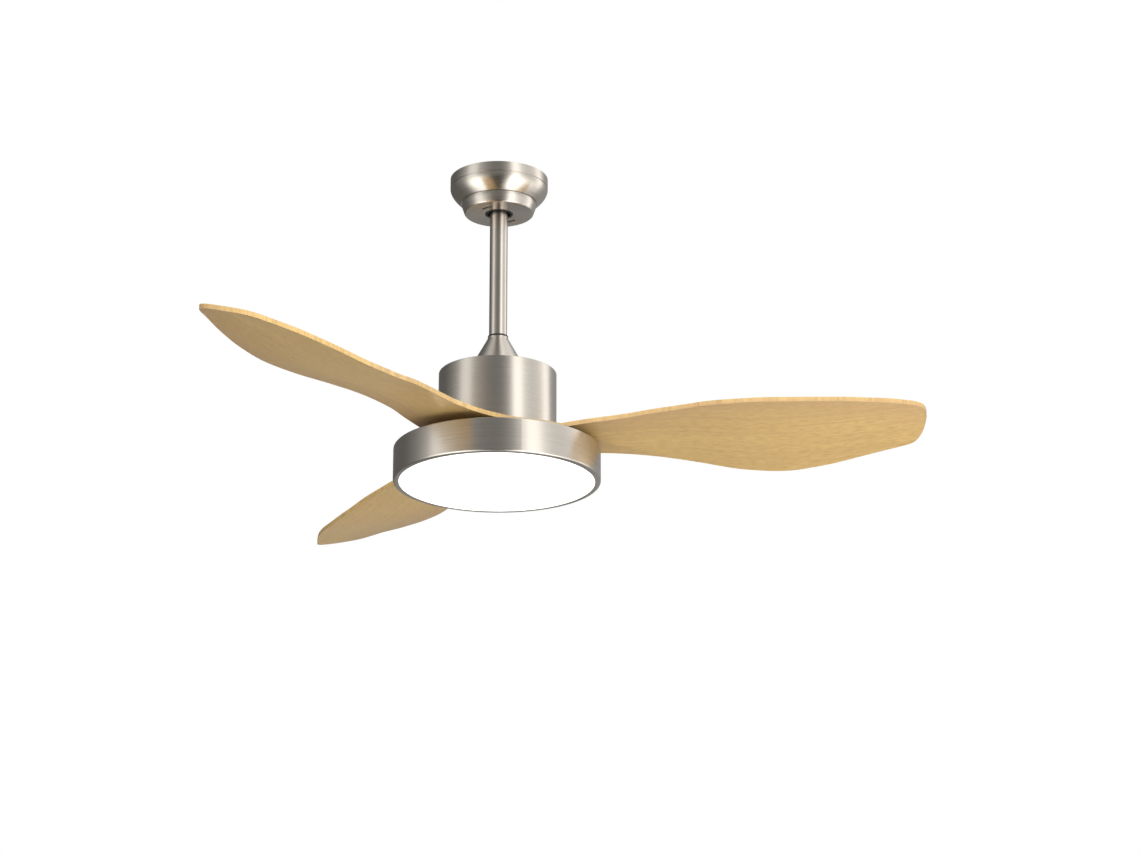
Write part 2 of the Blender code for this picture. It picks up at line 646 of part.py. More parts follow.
def make_rotor():
    """Two shells that meet at SPLIT_Z, held by three screws through their lugs."""
    seat = BEARING_R + GAP
    boss = 0.0236
    wall = 0.0022
    upper = [
        (boss, -0.3425),
        (boss, -0.3470),
        (ROTOR_R - wall, -0.3470),
        (ROTOR_R, -0.3492),
        (ROTOR_R, SPLIT_Z),
        (ROTOR_R - wall, SPLIT_Z),
        (ROTOR_R - wall, -0.3500),
        (boss, -0.3500),
        (boss, -0.3570),
        (seat, -0.3570),
        (seat, BEARING_TOP_Z + GAP),
        (0.0110, BEARING_TOP_Z + GAP),
        (0.0110, -0.3425),
    ]
    bottom_disc = ROTOR_BOTTOM_Z + 0.0079
    lower = [
        (ROTOR_R, SPLIT_Z - GAP),
        (ROTOR_R, -0.4200),
        (0.0840, -0.4228),
        (0.0840, ROTOR_BOTTOM_Z),
        (0.0600, ROTOR_BOTTOM_Z),
        (0.0600, bottom_disc),
        (0.0110, bottom_disc),
        (0.0110, BEARING_LOW_Z - BEARING_H - GAP),
        (seat, BEARING_LOW_Z - BEARING_H - GAP),
        (seat, BEARING_LOW_Z),
        (boss, BEARING_LOW_Z),
        (boss, bottom_disc + 0.0032),
        (ROTOR_R - wall, bottom_disc + 0.0032),
        (ROTOR_R - wall, SPLIT_Z - GAP),
    ]
    upper_shell = turned_ring("rotor_upper_shell", upper, ALUMINIUM, SIDES_MEDIUM)
    lower_shell = turned_ring("rotor_lower_shell", lower, ALUMINIUM, SIDES_MEDIUM)
    lugs = round_places(LUG_R, 3, LUG_DEG, SPLIT_Z)
    join(upper_shell, rods("upper_lugs", lugs, LUG_SIZE_R, (0, 0, 1), LUG_H, sides=SIDES_PIN))
    lower_lugs = round_places(LUG_R, 3, LUG_DEG, SPLIT_Z - GAP)
    join(lower_shell, rods("lower_lugs", lower_lugs, LUG_SIZE_R, (0, 0, -1), LUG_H + 0.0005, sides=SIDES_PIN))
    hole_places = round_places(LUG_R, 3, LUG_DEG, SPLIT_Z - LUG_H)
    holes = rods("lug_holes", hole_places, ROTOR_SCREW.hole_r, (0, 0, 1), 2 * LUG_H + PAST)
    cut(upper_shell, holes)
    cut(lower_shell, holes)
    for number, place in enumerate(round_places(LUG_R, 3, LUG_DEG, SPLIT_Z + LUG_H + GAP), 1):
        add_screw(f"rotor_screw_{number}", place, False, ROTOR_SCREW)
    magnets = ring_profile(0.0745, ROTOR_R - wall - GAP, -0.3700, -0.3960)
    turned_ring("rotor_magnets", magnets, MAGNET, SIDES_MEDIUM)
    return lower_shell


# ---------------------------------------------------------------- blades

# Plan outline in metres, from the hub to the tip.
LEADING_EDGE = (
    (0.0240, -0.0240),
    (0.0600, -0.0475),
    (0.1000, -0.0588),
    (0.1500, -0.0600),
    (0.2000, -0.0582),
    (0.2700, -0.0690),
    (0.3500, -0.0883),
    (0.4300, -0.0957),
    (0.5100, -0.0862),
    (0.5800, -0.0672),
    (0.6250, -0.0505),
)
TRAILING_EDGE = (
    (0.0300, 0.1107),
    (0.0690, 0.0849),
    (0.1000, 0.0725),
    (0.1400, 0.0633),
    (0.1800, 0.0623),
    (0.2250, 0.0673),
    (0.2800, 0.0786),
    (0.3500, 0.0937),
    (0.4300, 0.1012),
    (0.5000, 0.0945),
    (0.5600, 0.0796),
    (0.6150, 0.0616),
)
TIP_EDGE = (
    (0.6150, 0.0616),
    (0.6350, 0.0535),
    (0.6450, 0.0425),
    (0.6530, 0.0220),
    (0.6575, -0.0050),
    (0.6575, -0.0220),
    (0.6520, -0.0360),
    (0.6400, -0.0445),
    (0.6250, -0.0505),
)
# Distance out, height of the underside above or below the root, and pitch in degrees.
BLADE_STATIONS = (
    (0.0400, 0.0000, 0.0),
    (0.0800, 0.0000, 0.0),
    (0.1200, 0.0023, 2.2),
    (0.1600, 0.0046, 5.1),
    (0.2000, 0.0064, 8.3),
    (0.2500, 0.0075, 10.8),
    (0.3100, 0.0057, 12.2),
    (0.3800, 0.0009, 13.3),
    (0.4400, -0.0006, 13.5),
    (0.5000, 0.0027, 13.3),
    (0.5600, 0.0083, 13.5),
    (0.6200, 0.0135, 15.5),
    (0.6700, 0.0160, 17.0),
)
# The ridge under the root runs from the leading edge across to the trailing edge.
RIDGE = (
    (0.1180, -0.0600),
    (0.1450, -0.0100),
    (0.1600, 0.0060),
    (0.1880, 0.0320),
    (0.2130, 0.0450),
    (0.2770, 0.0780),
)
RIDGE_DEPTH = 0.0030
# Where the root ends, steps along the root and along the rest of the blade, and steps across it.
ROOT_END_X = 0.1120
ROOT_STEPS = 4
OUTER_STEPS = 24
STEPS_ACROSS = 8
EDGE_INSET = 0.0022
ROTOR_THREAD_L = 0.0052


def smooth_points(points, count):
    """Evenly spaced points on a smooth curve through the given ones."""
    vectors = [Vector(point) for point in points]
    before = 2 * vectors[0] - vectors[1]
    after = 2 * vectors[-1] - vectors[-2]
    padded = [before] + vectors + [after]
    fine = []
    steps = 12
    for i in range(1, len(padded) - 2):
        a, b, c, d = padded[i - 1 : i + 3]
        for step in range(steps):
            t = step / steps
            line = 2 * b + (c - a) * t
            bend = (2 * a - 5 * b + 4 * c - d) * t**2 + (3 * b - 3 * c + d - a) * t**3
            fine.append((line + bend) / 2)
    fine.append(vectors[-1])
    lengths = [0.0]
    for first, second in zip(fine, fine[1:]):
        lengths.append(lengths[-1] + (second - first).length)
    spaced = []
    at = 0
    for i in range(count + 1):
        wanted = lengths[-1] * i / count
        while at < len(fine) - 2 and lengths[at + 1] < wanted:
            at += 1
        share = (wanted - lengths[at]) / (lengths[at + 1] - lengths[at])
        spaced.append(fine[at].lerp(fine[at + 1], share))
    return spaced


def smooth_value(table, x, column):
    """A smooth curve through the table's values that makes no bumps of its own."""
    rows = [(row[0], row[column]) for row in table]
    x = min(max(x, rows[0][0]), rows[-1][0])
    slopes = [(b[1] - a[1]) / (b[0] - a[0]) for a, b in zip(rows, rows[1:])]
    tangents = [slopes[0]]
    for left, right in zip(slopes, slopes[1:]):
        tangents.append(0.0 if left * right <= 0 else 2 * left * right / (left + right))
    tangents.append(slopes[-1])
    i = max(n for n in range(len(rows) - 1) if rows[n][0] <= x)
    width = rows[i + 1][0] - rows[i][0]
    t = (x - rows[i][0]) / width
    rise = rows[i + 1][1] - rows[i][1]
    ease = t * t * (3 - 2 * t)
    into = t * (1 - t) ** 2 * tangents[i] * width
    out = t * t * (t - 1) * tangents[i + 1] * width
    return rows[i][1] + rise * ease + into + out


def blade_outline(root_steps, outer_steps):
    """The trailing and the leading side of the plan, as matching lists of points from hub to tip."""
    leading = smooth_points(LEADING_EDGE, 240)
    near = [point for point in leading if point.x <= ROOT_END_X]
    far = [near[-1]] + [point for point in leading if point.x > ROOT_END_X]
    near = smooth_points(near, root_steps)
    turn = Matrix.Rotation(math.radians(360.0 / BLADES - ROOT_GAP_DEG), 2)
    root_line = [turn @ point for point in near]
    trailing = smooth_points([root_line[-1]] + [Vector(point) for point in TRAILING_EDGE], outer_steps)
    return root_line + trailing[1:], near + smooth_points(far, outer_steps)[1:]


def blade_plan(root_steps, outer_steps, across):
    """A grid of plan points: rows run from hub to tip, columns from trailing to leading edge."""
    trailing, leading = blade_outline(root_steps, outer_steps)
    tip = smooth_points(TIP_EDGE, across)
    start = math.atan2(trailing[0].y, trailing[0].x)
    end = math.atan2(leading[0].y, leading[0].x)
    rows = []
    last = len(trailing) - 1
    tip_rows = max(2, outer_steps // 6)
    for i, (back, front) in enumerate(zip(trailing, leading)):
        row = []
        hub_share = max(0.0, 1 - i / root_steps)
        tip_share = max(0.0, 1 - (last - i) / tip_rows)
        for j in range(across + 1):
            share = j / across
            point = back.lerp(front, share)
            angle = start + (end - start) * share
            hub_point = Vector((HUB_R * math.cos(angle), HUB_R * math.sin(angle)))
            hub_chord = trailing[0].lerp(leading[0], share)
            tip_chord = trailing[-1].lerp(leading[-1], share)
            point = point + (hub_point - hub_chord) * hub_share + (tip[j] - tip_chord) * tip_share
            row.append(point)
        rows.append(row)
    return rows


def blade_height(x, y):
    """Height of the flat, twisted underside over the root's underside."""
    rise = smooth_value(BLADE_STATIONS, x, 1)
    pitch = math.radians(smooth_value(BLADE_STATIONS, x, 2))
    return rise - math.tan(pitch) * y


def ridge_drop(x, y, trailing_y, leading_y):
    """How far the ridge hangs below that underside."""
    first, last = RIDGE[0][0], RIDGE[-1][0]
    if not first < x < last:
        return 0.0
    line = smooth_value(RIDGE, x, 1)
    edge = trailing_y if y > line else leading_y
    share = (edge - y) / (edge - line) if abs(edge - line) > 1e-4 else 0.0
    fade = math.sin(math.pi * (x - first) / (last - first))
    return RIDGE_DEPTH * fade * min(max(share, 0.0), 1.0)


def make_blade_mesh():
    """Each row is a closed ring: underside, leading edge, top and trailing edge. The rings are lofted."""
    rows = blade_plan(ROOT_STEPS, OUTER_STEPS, STEPS_ACROSS)
    shape = bmesh.new()
    rings = []
    for row in rows:
        back, front = row[0], row[-1]
        chord = (front - back).normalized()
        inner = [back + chord * EDGE_INSET] + row[1:-1] + [front - chord * EDGE_INSET]
        low, high = [], []
        for point in inner:
            height = blade_height(point.x, point.y)
            drop = ridge_drop(point.x, point.y, back.y, front.y)
            low.append(shape.verts.new((point.x, point.y, height - drop)))
            high.append(shape.verts.new((point.x, point.y, height + BLADE_THICKNESS)))
        edges = []
        for point in (front, back):
            middle = blade_height(point.x, point.y) + BLADE_THICKNESS / 2
            edges.append(shape.verts.new((point.x, point.y, middle)))
        rings.append((low, high, low + [edges[0]] + high[::-1] + [edges[1]]))
    for (_, _, first), (_, _, second) in zip(rings, rings[1:]):
        for i in range(len(first)):
            following = (i + 1) % len(first)
            shape.faces.new((first[i], second[i], second[following], first[following]))
    for low, high, ring in (rings[0], rings[-1]):
        for i in range(len(low) - 1):
            shape.faces.new((low[i], low[i + 1], high[i + 1], high[i]))
        shape.faces.new((low[-1], ring[len(low)], high[-1]))
        shape.faces.new((low[0], high[0], ring[-1]))
    bmesh.ops.recalc_face_normals(shape, faces=shape.faces)
    mesh = bpy.data.meshes.new("blade")
    shape.to_mesh(mesh)
    shape.free()
    mesh.shade_smooth()
    mesh.set_sharp_from_angle(angle=math.radians(35))
    mesh.materials.append(WOOD)
    return mesh


def make_blades(lower_shell):
    mesh = make_blade_mesh()
    screw_places = []
    for number in range(1, BLADES + 1):
        heading = FIRST_BLADE_DEG - 360.0 * (number - 1) / BLADES
        blade = add_object(f"blade_{number}", mesh, None, z=BLADE_ROOT_Z)
        blade.rotation_euler.z = math.radians(heading)
        places = [polar(BLADE_CIRCLE_R, heading + degrees) for degrees in BLADE_SCREW_DEG]
        holes = [place + Vector((0, 0, BLADE_ROOT_Z - PAST)) for place in places]
        depth = BLADE_THICKNESS + 2 * PAST
        cut(blade, rods(f"blade_holes_{number}", holes, BLADE_SCREW.hole_r, (0, 0, 1), depth))
        for order, place in enumerate(places, 1):
            at = place + Vector((0, 0, BLADE_ROOT_Z - GAP))
            add_screw(f"blade_screw_{number}_{order}", at, True, BLADE_SCREW)
        screw_places += [place + Vector((0, 0, ROTOR_BOTTOM_Z - PAST)) for place in places]
    depth = PAST + ROTOR_THREAD_L
    cut(lower_shell, rods("rotor_blade_holes", screw_places, BLADE_SCREW.thread_r, (0, 0, 1), depth))


# ---------------------------------------------------------------- light

PAN_WALL = 0.0014
PAN_LIP_R = DIFFUSER_R + 0.0006
PAN_HOLE_R = 0.0190
LAMP_BRACKET_Z = PAN_TOP_Z + GAP
PLATE_R = 0.0450
NUT_R = 0.0139
NUT_H = 0.0058
POST_CIRCLE_R = 0.1250
POST_R = 0.0040
BOARD_Z = -0.4745
BOARD_R = 0.1400
BOARD_HOLE_R = 0.0060
BOARD_H = 0.0016
DRIVER_X = (0.0300, 0.1100)
DRIVER_HALF_WIDTH = 0.0230
DRIVER_H = 0.0180


def make_lamp_bracket():
    """A round plate on the shaft's lower end, held by a nut."""
    profile = ring_profile(SHAFT_R + GAP, PLATE_R, LAMP_BRACKET_Z + PLATE, LAMP_BRACKET_Z)
    plate = turned_ring("lamp_bracket", profile, STEEL, SIDES_SMALL)
    places = round_places(PAN_CIRCLE_R, 3, 60.0, LAMP_BRACKET_Z - PAST)
    cut(plate, rods("plate_holes", places, PAN_SCREW.thread_r, (0, 0, 1), PLATE + 2 * PAST))
    nut_top = LAMP_BRACKET_Z - GAP
    nut = rods("shaft_nut", [(0.0, 0.0, nut_top)], NUT_R, (0, 0, -1), NUT_H, STEEL, PARTS, 6)
    bore = [(0.0, 0.0, nut_top + PAST)]
    cut(nut, rods("nut_bore", bore, SHAFT_R + GAP, (0, 0, -1), NUT_H + 2 * PAST, sides=SIDES_SMALL))


def make_lamp_pan():
    bottom = PAN_BOTTOM_Z
    profile = [
        (PAN_R - 0.0020, PAN_TOP_Z),
        (PAN_R, PAN_TOP_Z - 0.0020),
        (PAN_R, bottom + 0.0045),
        (PAN_R - 0.0016, bottom + 0.0014),
        (PAN_R - 0.0050, bottom),
        (PAN_LIP_R, bottom),
        (PAN_LIP_R, bottom + PAN_WALL),
        (PAN_R - 0.0055, bottom + PAN_WALL),
        (PAN_R - PAN_WALL, bottom + 0.0050),
        (PAN_R - PAN_WALL, PAN_TOP_Z - PAN_WALL),
        (PAN_HOLE_R, PAN_TOP_Z - PAN_WALL),
        (PAN_HOLE_R, PAN_TOP_Z),
    ]
    pan = turned_ring("lamp_pan", profile, NICKEL, SIDES_LARGE)
    places = round_places(PAN_CIRCLE_R, 3, 60.0, PAN_TOP_Z - PAN_WALL - PAST)
    cut(pan, rods("pan_holes", places, PAN_SCREW.hole_r, (0, 0, 1), PAN_WALL + 2 * PAST))
    for number, place in enumerate(round_places(PAN_CIRCLE_R, 3, 60.0, PAN_TOP_Z - PAN_WALL - GAP), 1):
        add_screw(f"pan_screw_{number}", place, True, PAN_SCREW)


def make_lamp_insides():
    ceiling = PAN_TOP_Z - PAN_WALL - GAP
    driver_low = (DRIVER_X[0], -DRIVER_HALF_WIDTH, ceiling - DRIVER_H)
    driver_high = (DRIVER_X[1], DRIVER_HALF_WIDTH, ceiling)
    add_box("led_driver", driver_low, driver_high, WHITE_PLASTIC, bevel=EDGE_BEVEL)
    board = ring_profile(BOARD_HOLE_R, BOARD_R, BOARD_Z, BOARD_Z - BOARD_H)
    turned_ring("led_board", board, WHITE_PLASTIC, SIDES_MEDIUM)
    length = ceiling - BOARD_Z - GAP
    for number, place in enumerate(round_places(POST_CIRCLE_R, 3, 90.0, ceiling), 1):
        rods(f"led_post_{number}", [place], POST_R, (0, 0, -1), length, ALUMINIUM, PARTS, SIDES_PIN)


def make_diffuser():
    """A shallow tray. The bead on its rim snaps in over the pan's lip."""
    wall = 0.0022
    bottom = PAN_BOTTOM_Z
    rim = bottom + 0.0150
    bead_r = DIFFUSER_R + 0.0018
    profile = [
        (0.0, bottom + wall),
        (DIFFUSER_R - wall, bottom + wall),
        (DIFFUSER_R - wall, rim),
        (DIFFUSER_R, rim),
        (DIFFUSER_R, bottom + 0.0058),
        (bead_r, bottom + 0.0045),
        (bead_r, bottom + 0.0027),
        (DIFFUSER_R, bottom + 0.0019),
        (DIFFUSER_R, bottom + 0.0007),
        (DIFFUSER_R - 0.0007, bottom),
        (0.0, bottom),
    ]
    turned_solid("diffuser", profile, OPAL, SIDES_LARGE)


# ---------------------------------------------------------------- assembly


def gather(name, place, members, parent=None):
    """Hangs the members from an empty on their joint's axis."""
    axis = bpy.data.objects.new(name, None)
    axis.empty_display_size = 0.03
    axis.location = place
    PARTS.objects.link(axis)
    if parent:
        axis.parent = parent
        axis.location = Vector(place) - parent.location
    for member in members:
        member.parent = axis
        member.matrix_parent_inverse = Matrix.Translation(-Vector(place))
    return axis


def main():
    make_ceiling_bracket()
    make_canopy()
    make_canopy_cover()
    make_ceiling_electrics()
    ceiling_side = set(PARTS.objects)
    make_hanger_ball()
    make_downrod()
    make_motor_lead()
    make_yoke()
    make_coupling_cover()
    make_motor_cover()
    make_shaft()
    make_stator()
    make_lamp_bracket()
    make_lamp_pan()
    make_lamp_insides()
    make_diffuser()
    hanging_side = set(PARTS.objects) - ceiling_side
    lower_shell = make_rotor()
    make_bearings()
    make_blades(lower_shell)
    spinning_side = set(PARTS.objects) - ceiling_side - hanging_side
    swing = gather("swing_centre", (0.0, 0.0, BALL_Z), sorted(hanging_side, key=lambda obj: obj.name))
    gather("rotor_axis", (0.0, 0.0, SPLIT_Z), sorted(spinning_side, key=lambda obj: obj.name), swing)


main()
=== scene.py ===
"""Finished surfaces of a ceiling fan with light: twisted wooden blades, brushed nickel and a flat opal light.

The frame gives every node's place, in metres, with +Z up and the ceiling at z = 0. Turned pieces are profiles
spun round the fan's axis. The blades are cut from their plan outline and given their twist by a formula.
"""

import json
import math

import bmesh
import bpy
from mathutils import Matrix, Vector

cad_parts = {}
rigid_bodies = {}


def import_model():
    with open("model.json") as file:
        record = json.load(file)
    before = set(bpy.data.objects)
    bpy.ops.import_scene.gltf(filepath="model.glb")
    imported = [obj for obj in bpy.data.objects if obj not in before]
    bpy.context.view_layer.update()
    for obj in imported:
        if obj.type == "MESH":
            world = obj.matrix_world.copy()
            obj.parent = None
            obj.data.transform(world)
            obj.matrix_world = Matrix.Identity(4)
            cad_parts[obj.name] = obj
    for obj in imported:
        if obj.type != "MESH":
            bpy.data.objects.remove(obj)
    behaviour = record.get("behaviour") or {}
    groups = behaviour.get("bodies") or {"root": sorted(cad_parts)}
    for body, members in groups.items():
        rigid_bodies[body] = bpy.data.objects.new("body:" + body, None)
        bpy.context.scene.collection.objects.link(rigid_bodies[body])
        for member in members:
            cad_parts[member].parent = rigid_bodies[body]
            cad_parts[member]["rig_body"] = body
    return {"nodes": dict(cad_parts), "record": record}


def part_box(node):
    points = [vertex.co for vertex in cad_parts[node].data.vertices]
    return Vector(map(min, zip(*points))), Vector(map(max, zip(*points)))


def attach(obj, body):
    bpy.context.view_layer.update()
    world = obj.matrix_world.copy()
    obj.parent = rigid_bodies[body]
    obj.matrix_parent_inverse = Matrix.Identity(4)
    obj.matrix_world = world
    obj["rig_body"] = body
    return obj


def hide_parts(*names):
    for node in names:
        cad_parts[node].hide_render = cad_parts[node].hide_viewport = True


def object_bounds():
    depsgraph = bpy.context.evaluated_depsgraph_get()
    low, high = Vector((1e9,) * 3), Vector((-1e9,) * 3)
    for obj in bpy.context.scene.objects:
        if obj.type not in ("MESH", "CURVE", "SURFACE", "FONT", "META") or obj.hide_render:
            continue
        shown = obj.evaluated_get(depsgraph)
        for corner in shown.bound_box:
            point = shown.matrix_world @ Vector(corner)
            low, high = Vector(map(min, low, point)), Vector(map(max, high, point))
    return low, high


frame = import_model()
CAD_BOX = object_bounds()
NODES = frame["nodes"]
SLOTS = {part["node"]: part["material_slot"] for part in frame["record"]["subparts"]}

MM = 0.001
FULL_TURN = 2 * math.pi
ROUND_STEPS = 144
SMALL_STEPS = 48


# ---------------------------------------------------------------- finishes


class Nodes:
    """A node tree whose nodes are added one call at a time."""

    def __init__(self, tree):
        self.tree = tree

    def feed(self, socket, value):
        """Gives a socket a constant, or the output of another node."""
        if isinstance(value, bpy.types.NodeSocket):
            self.tree.links.new(value, socket)
        else:
            socket.default_value = value

    def add(self, kind, inputs, output=0, **settings):
        made = self.tree.nodes.new("ShaderNode" + kind)
        for key, value in settings.items():
            setattr(made, key, value)
        for key, value in inputs.items():
            self.feed(made.inputs[key], value)
        return made.outputs[output]


class Finish(Nodes):
    """A material, and the patterns that its surface is made of."""

    def __init__(self, name, color, metallic, roughness):
        self.name = name
        self.material = bpy.data.materials.new(name)
        self.material.use_nodes = True
        super().__init__(self.material.node_tree)
        self.shader = self.tree.nodes["Principled BSDF"]
        self.set("Base Color", (*color, 1.0))
        self.set("Metallic", metallic)
        self.set("Roughness", roughness)

    def set(self, socket, value):
        self.feed(self.shader.inputs[socket], value)

    def place(self):
        return self.add("TexCoord", {}, "Object")

    def stretched(self, vector, scale):
        return self.add("Mapping", {"Vector": vector, "Scale": scale})

    def noise(self, vector, scale, detail=3.0, roughness=0.5):
        inputs = {"Vector": vector, "Scale": scale, "Detail": detail, "Roughness": roughness}
        return self.add("TexNoise", inputs)

    def maths(self, operation, first, second=0.0):
        return self.add("Math", {0: first, 1: second}, operation=operation)

    def ranged(self, value, low, high, to_low, to_high):
        inputs = {"Value": value, 1: low, 2: high, 3: to_low, 4: to_high}
        return self.add("MapRange", inputs)

    def mixed(self, share, first, second, blend="MIX"):
        """Two colours mixed: a share of 0 is the first, 1 is the second."""
        first, second = (c if isinstance(c, bpy.types.NodeSocket) else (*c, 1.0) for c in (first, second))
        inputs = {0: share, 6: first, 7: second}
        return self.add("Mix", inputs, 2, data_type="RGBA", blend_type=blend)

    def bumped(self, height, strength, distance):
        inputs = {"Height": height, "Strength": strength, "Distance": distance}
        self.set("Normal", self.add("Bump", inputs))


def tone(color, factor):
    return tuple(channel * factor for channel in color)


NICKEL_TONE = (0.60, 0.553, 0.490)


def brushed_nickel():
    """Warm nickel with fine brush lines that run round the fan's axis."""
    finish = Finish("brushed_nickel", NICKEL_TONE, 1.0, 0.3)
    place = finish.place()
    height = finish.add("SeparateXYZ", {0: place}, "Z")
    flat = finish.stretched(place, (1.0, 1.0, 0.0))
    radius = finish.add("VectorMath", {0: flat}, "Value", operation="LENGTH")
    across = finish.maths("SUBTRACT", height, finish.maths("MULTIPLY", radius, 0.6))
    stacked = finish.add("CombineXYZ", {"Z": across})
    lines_place = finish.add("VectorMath", {0: flat, 1: stacked}, operation="ADD")
    fine = finish.noise(finish.stretched(lines_place, (9.0, 9.0, 3200.0)), 1.0, 2.0)
    coarse = finish.noise(finish.stretched(lines_place, (5.0, 5.0, 620.0)), 1.0, 3.0)
    cloud = finish.noise(place, 14.0, 2.0)
    lines = finish.maths("ADD", finish.maths("MULTIPLY", fine, 0.75), finish.maths("MULTIPLY", coarse, 0.25))
    bright = finish.ranged(lines, 0.3, 0.7, 0.92, 1.06)
    bright = finish.maths("MULTIPLY", bright, finish.ranged(cloud, 0.3, 0.7, 0.97, 1.03))
    brightness = finish.add("CombineXYZ", {0: bright, 1: bright, 2: bright})
    finish.set("Base Color", finish.mixed(1.0, NICKEL_TONE, brightness, "MULTIPLY"))
    finish.set("Roughness", finish.ranged(lines, 0.3, 0.7, 0.25, 0.36))
    finish.bumped(lines, 0.12, 0.00003)
    around = finish.add("VectorMath", {0: (0.0, 0.0, 1.0), 1: place}, operation="CROSS_PRODUCT")
    spaces = {"vector_type": "VECTOR", "convert_from": "OBJECT", "convert_to": "WORLD"}
    tangent = finish.add("VectorTransform", {0: around}, **spaces)
    finish.set("Tangent", tangent)
    finish.set("Anisotropic", 0.8)
    finish.set("Anisotropic Rotation", 0.25)
    return finish.material


WOOD_PALE = (0.57, 0.385, 0.145)
WOOD_MID = (0.50, 0.325, 0.120)
WOOD_DARK = (0.32, 0.190, 0.070)
# Painted shade for the blades' underside, mixed in towards the leading edge.
WOOD_PAINTED_SHADE = (0.36, 0.225, 0.125)
# Painted highlight: a pale cream mixed onto the blades' rounded edges.
WOOD_PAINTED_EDGE_HIGHLIGHT = (0.98, 0.92, 0.74)


def blade_wood():
    """Pale oak, with the grain along the blade, a painted shade towards the leading edge and a painted
    highlight on the rounded edges. The map holds metres along and across the blade.
    """
    finish = Finish("blade_wood", WOOD_PALE, 0.0, 0.42)
    grain = finish.add("UVMap", {}, uv_map="grain")
    wander = finish.noise(finish.stretched(grain, (2.6, 7.0, 1.0)), 1.0, 2.0)
    bend = finish.maths("MULTIPLY", finish.maths("SUBTRACT", wander, 0.5), 0.035)
    along = finish.add("SeparateXYZ", {0: grain}, "X")
    across = finish.maths("ADD", finish.add("SeparateXYZ", {0: grain}, "Y"), bend)
    ring_place = finish.add("CombineXYZ", {0: along, 1: across})
    rings = finish.noise(finish.stretched(ring_place, (2.2, 120.0, 1.0)), 1.0, 3.0, 0.6)
    broad = finish.noise(finish.stretched(ring_place, (2.0, 16.0, 1.0)), 1.0, 2.0)
    flecks = finish.noise(finish.stretched(ring_place, (60.0, 420.0, 1.0)), 1.0, 2.0, 0.6)
    fibres = finish.noise(finish.stretched(grain, (26.0, 900.0, 1.0)), 1.0, 2.0, 0.7)
    pores = finish.noise(finish.stretched(grain, (75.0, 1250.0, 1.0)), 1.0, 1.0)
    color = finish.mixed(finish.ranged(broad, 0.32, 0.68, 0.0, 0.6), WOOD_PALE, WOOD_MID)
    ring_share = finish.ranged(rings, 0.45, 0.75, 0.0, 0.34)
    color = finish.mixed(ring_share, color, WOOD_DARK)
    color = finish.mixed(finish.ranged(flecks, 0.42, 0.72, 0.0, 0.58), color, WOOD_DARK)
    color = finish.mixed(finish.ranged(fibres, 0.35, 0.75, 0.0, 0.26), color, WOOD_DARK)
    pore_share = finish.ranged(pores, 0.66, 0.74, 0.0, 0.5)
    color = finish.mixed(pore_share, color, tone(WOOD_DARK, 0.6))
    # Painted shade: the underside is mixed towards a darker, rosier tone near its leading edge.
    leading = finish.add("Attribute", {}, "Fac", attribute_name="leading")
    color = finish.mixed(finish.maths("MULTIPLY", leading, 0.45), color, WOOD_PAINTED_SHADE)
    # Painted highlight: the rounded edges are mixed towards a pale cream, standing in for light caught on
    # them.
    edge = finish.add("Attribute", {}, "Fac", attribute_name="painted_edge_highlight")
    color = finish.mixed(finish.maths("MULTIPLY", edge, 0.95), color, WOOD_PAINTED_EDGE_HIGHLIGHT)
    finish.set("Base Color", color)
    finish.set("Roughness", finish.ranged(fibres, 0.3, 0.7, 0.36, 0.5))
    relief = finish.maths("SUBTRACT", fibres, finish.maths("MULTIPLY", pore_share, 1.4))
    finish.bumped(relief, 0.22, 0.0001)
    finish.set("Coat Weight", 0.15)
    finish.set("Coat Roughness", 0.3)
    return finish.material


def opal_diffuser():
    """Milky acrylic, lit from inside, a touch dimmer towards the rim."""
    finish = Finish("opal_diffuser", (0.93, 0.93, 0.92), 0.0, 0.35)
    place = finish.place()
    flat = finish.stretched(place, (1.0, 1.0, 0.0))
    radius = finish.add("VectorMath", {0: flat}, "Value", operation="LENGTH")
    glow = finish.ranged(radius, 0.02, 0.15, 1.5, 1.15)
    grain = finish.noise(place, 900.0, 2.0)
    finish.set("Roughness", finish.ranged(grain, 0.3, 0.7, 0.32, 0.42))
    finish.set("Emission Color", (1.0, 0.995, 0.98, 1.0))
    finish.set("Emission Strength", glow)
    finish.set("Subsurface Weight", 0.2)
    finish.set("Subsurface Radius", (0.01, 0.01, 0.01))
    finish.bumped(grain, 0.05, 0.00002)
    return finish.material


def grained(name, color, metallic, roughness, grain_scale, depth, spread=0.12, variety=0.12):
    """A finish with a fine grain: the base of the plated, moulded, cast and painted pieces."""
    finish = Finish(name, color, metallic, roughness)
    place = finish.place()
    grain = finish.noise(place, grain_scale, 3.0, 0.6)
    cloud = finish.noise(place, 35.0, 2.0)
    shade = finish.ranged(cloud, 0.3, 0.7, 0.0, 1.0)
    finish.set("Base Color", finish.mixed(shade, tone(color, 1.0 - variety), tone(color, 1.0 + variety)))
    finish.set("Roughness", finish.ranged(grain, 0.3, 0.7, roughness - spread / 2, roughness + spread / 2))
    finish.bumped(grain, 0.3, depth)
    return finish


def banded(finish, color, second, pitch, depth):
    """Adds thin layers stacked along the axis, such as laminations or turns of wire."""
    place = finish.place()
    height = finish.add("SeparateXYZ", {0: place}, "Z")
    wave = finish.maths("SINE", finish.maths("MULTIPLY", height, FULL_TURN / pitch))
    share = finish.ranged(wave, -1.0, 1.0, 0.0, 1.0)
    finish.set("Base Color", finish.mixed(share, color, second))
    finish.bumped(wave, 0.5, depth)
    return finish


def solder_mask_board():
    """White board coating with fine round dimples of the weave below it."""
    finish = grained("led_board", (0.80, 0.80, 0.77), 0.0, 0.35, 1500.0, 0.00002)
    weave = finish.add("TexVoronoi", {"Vector": finish.place(), "Scale": 900.0})
    finish.bumped(weave, 0.1, 0.00003)
    return finish


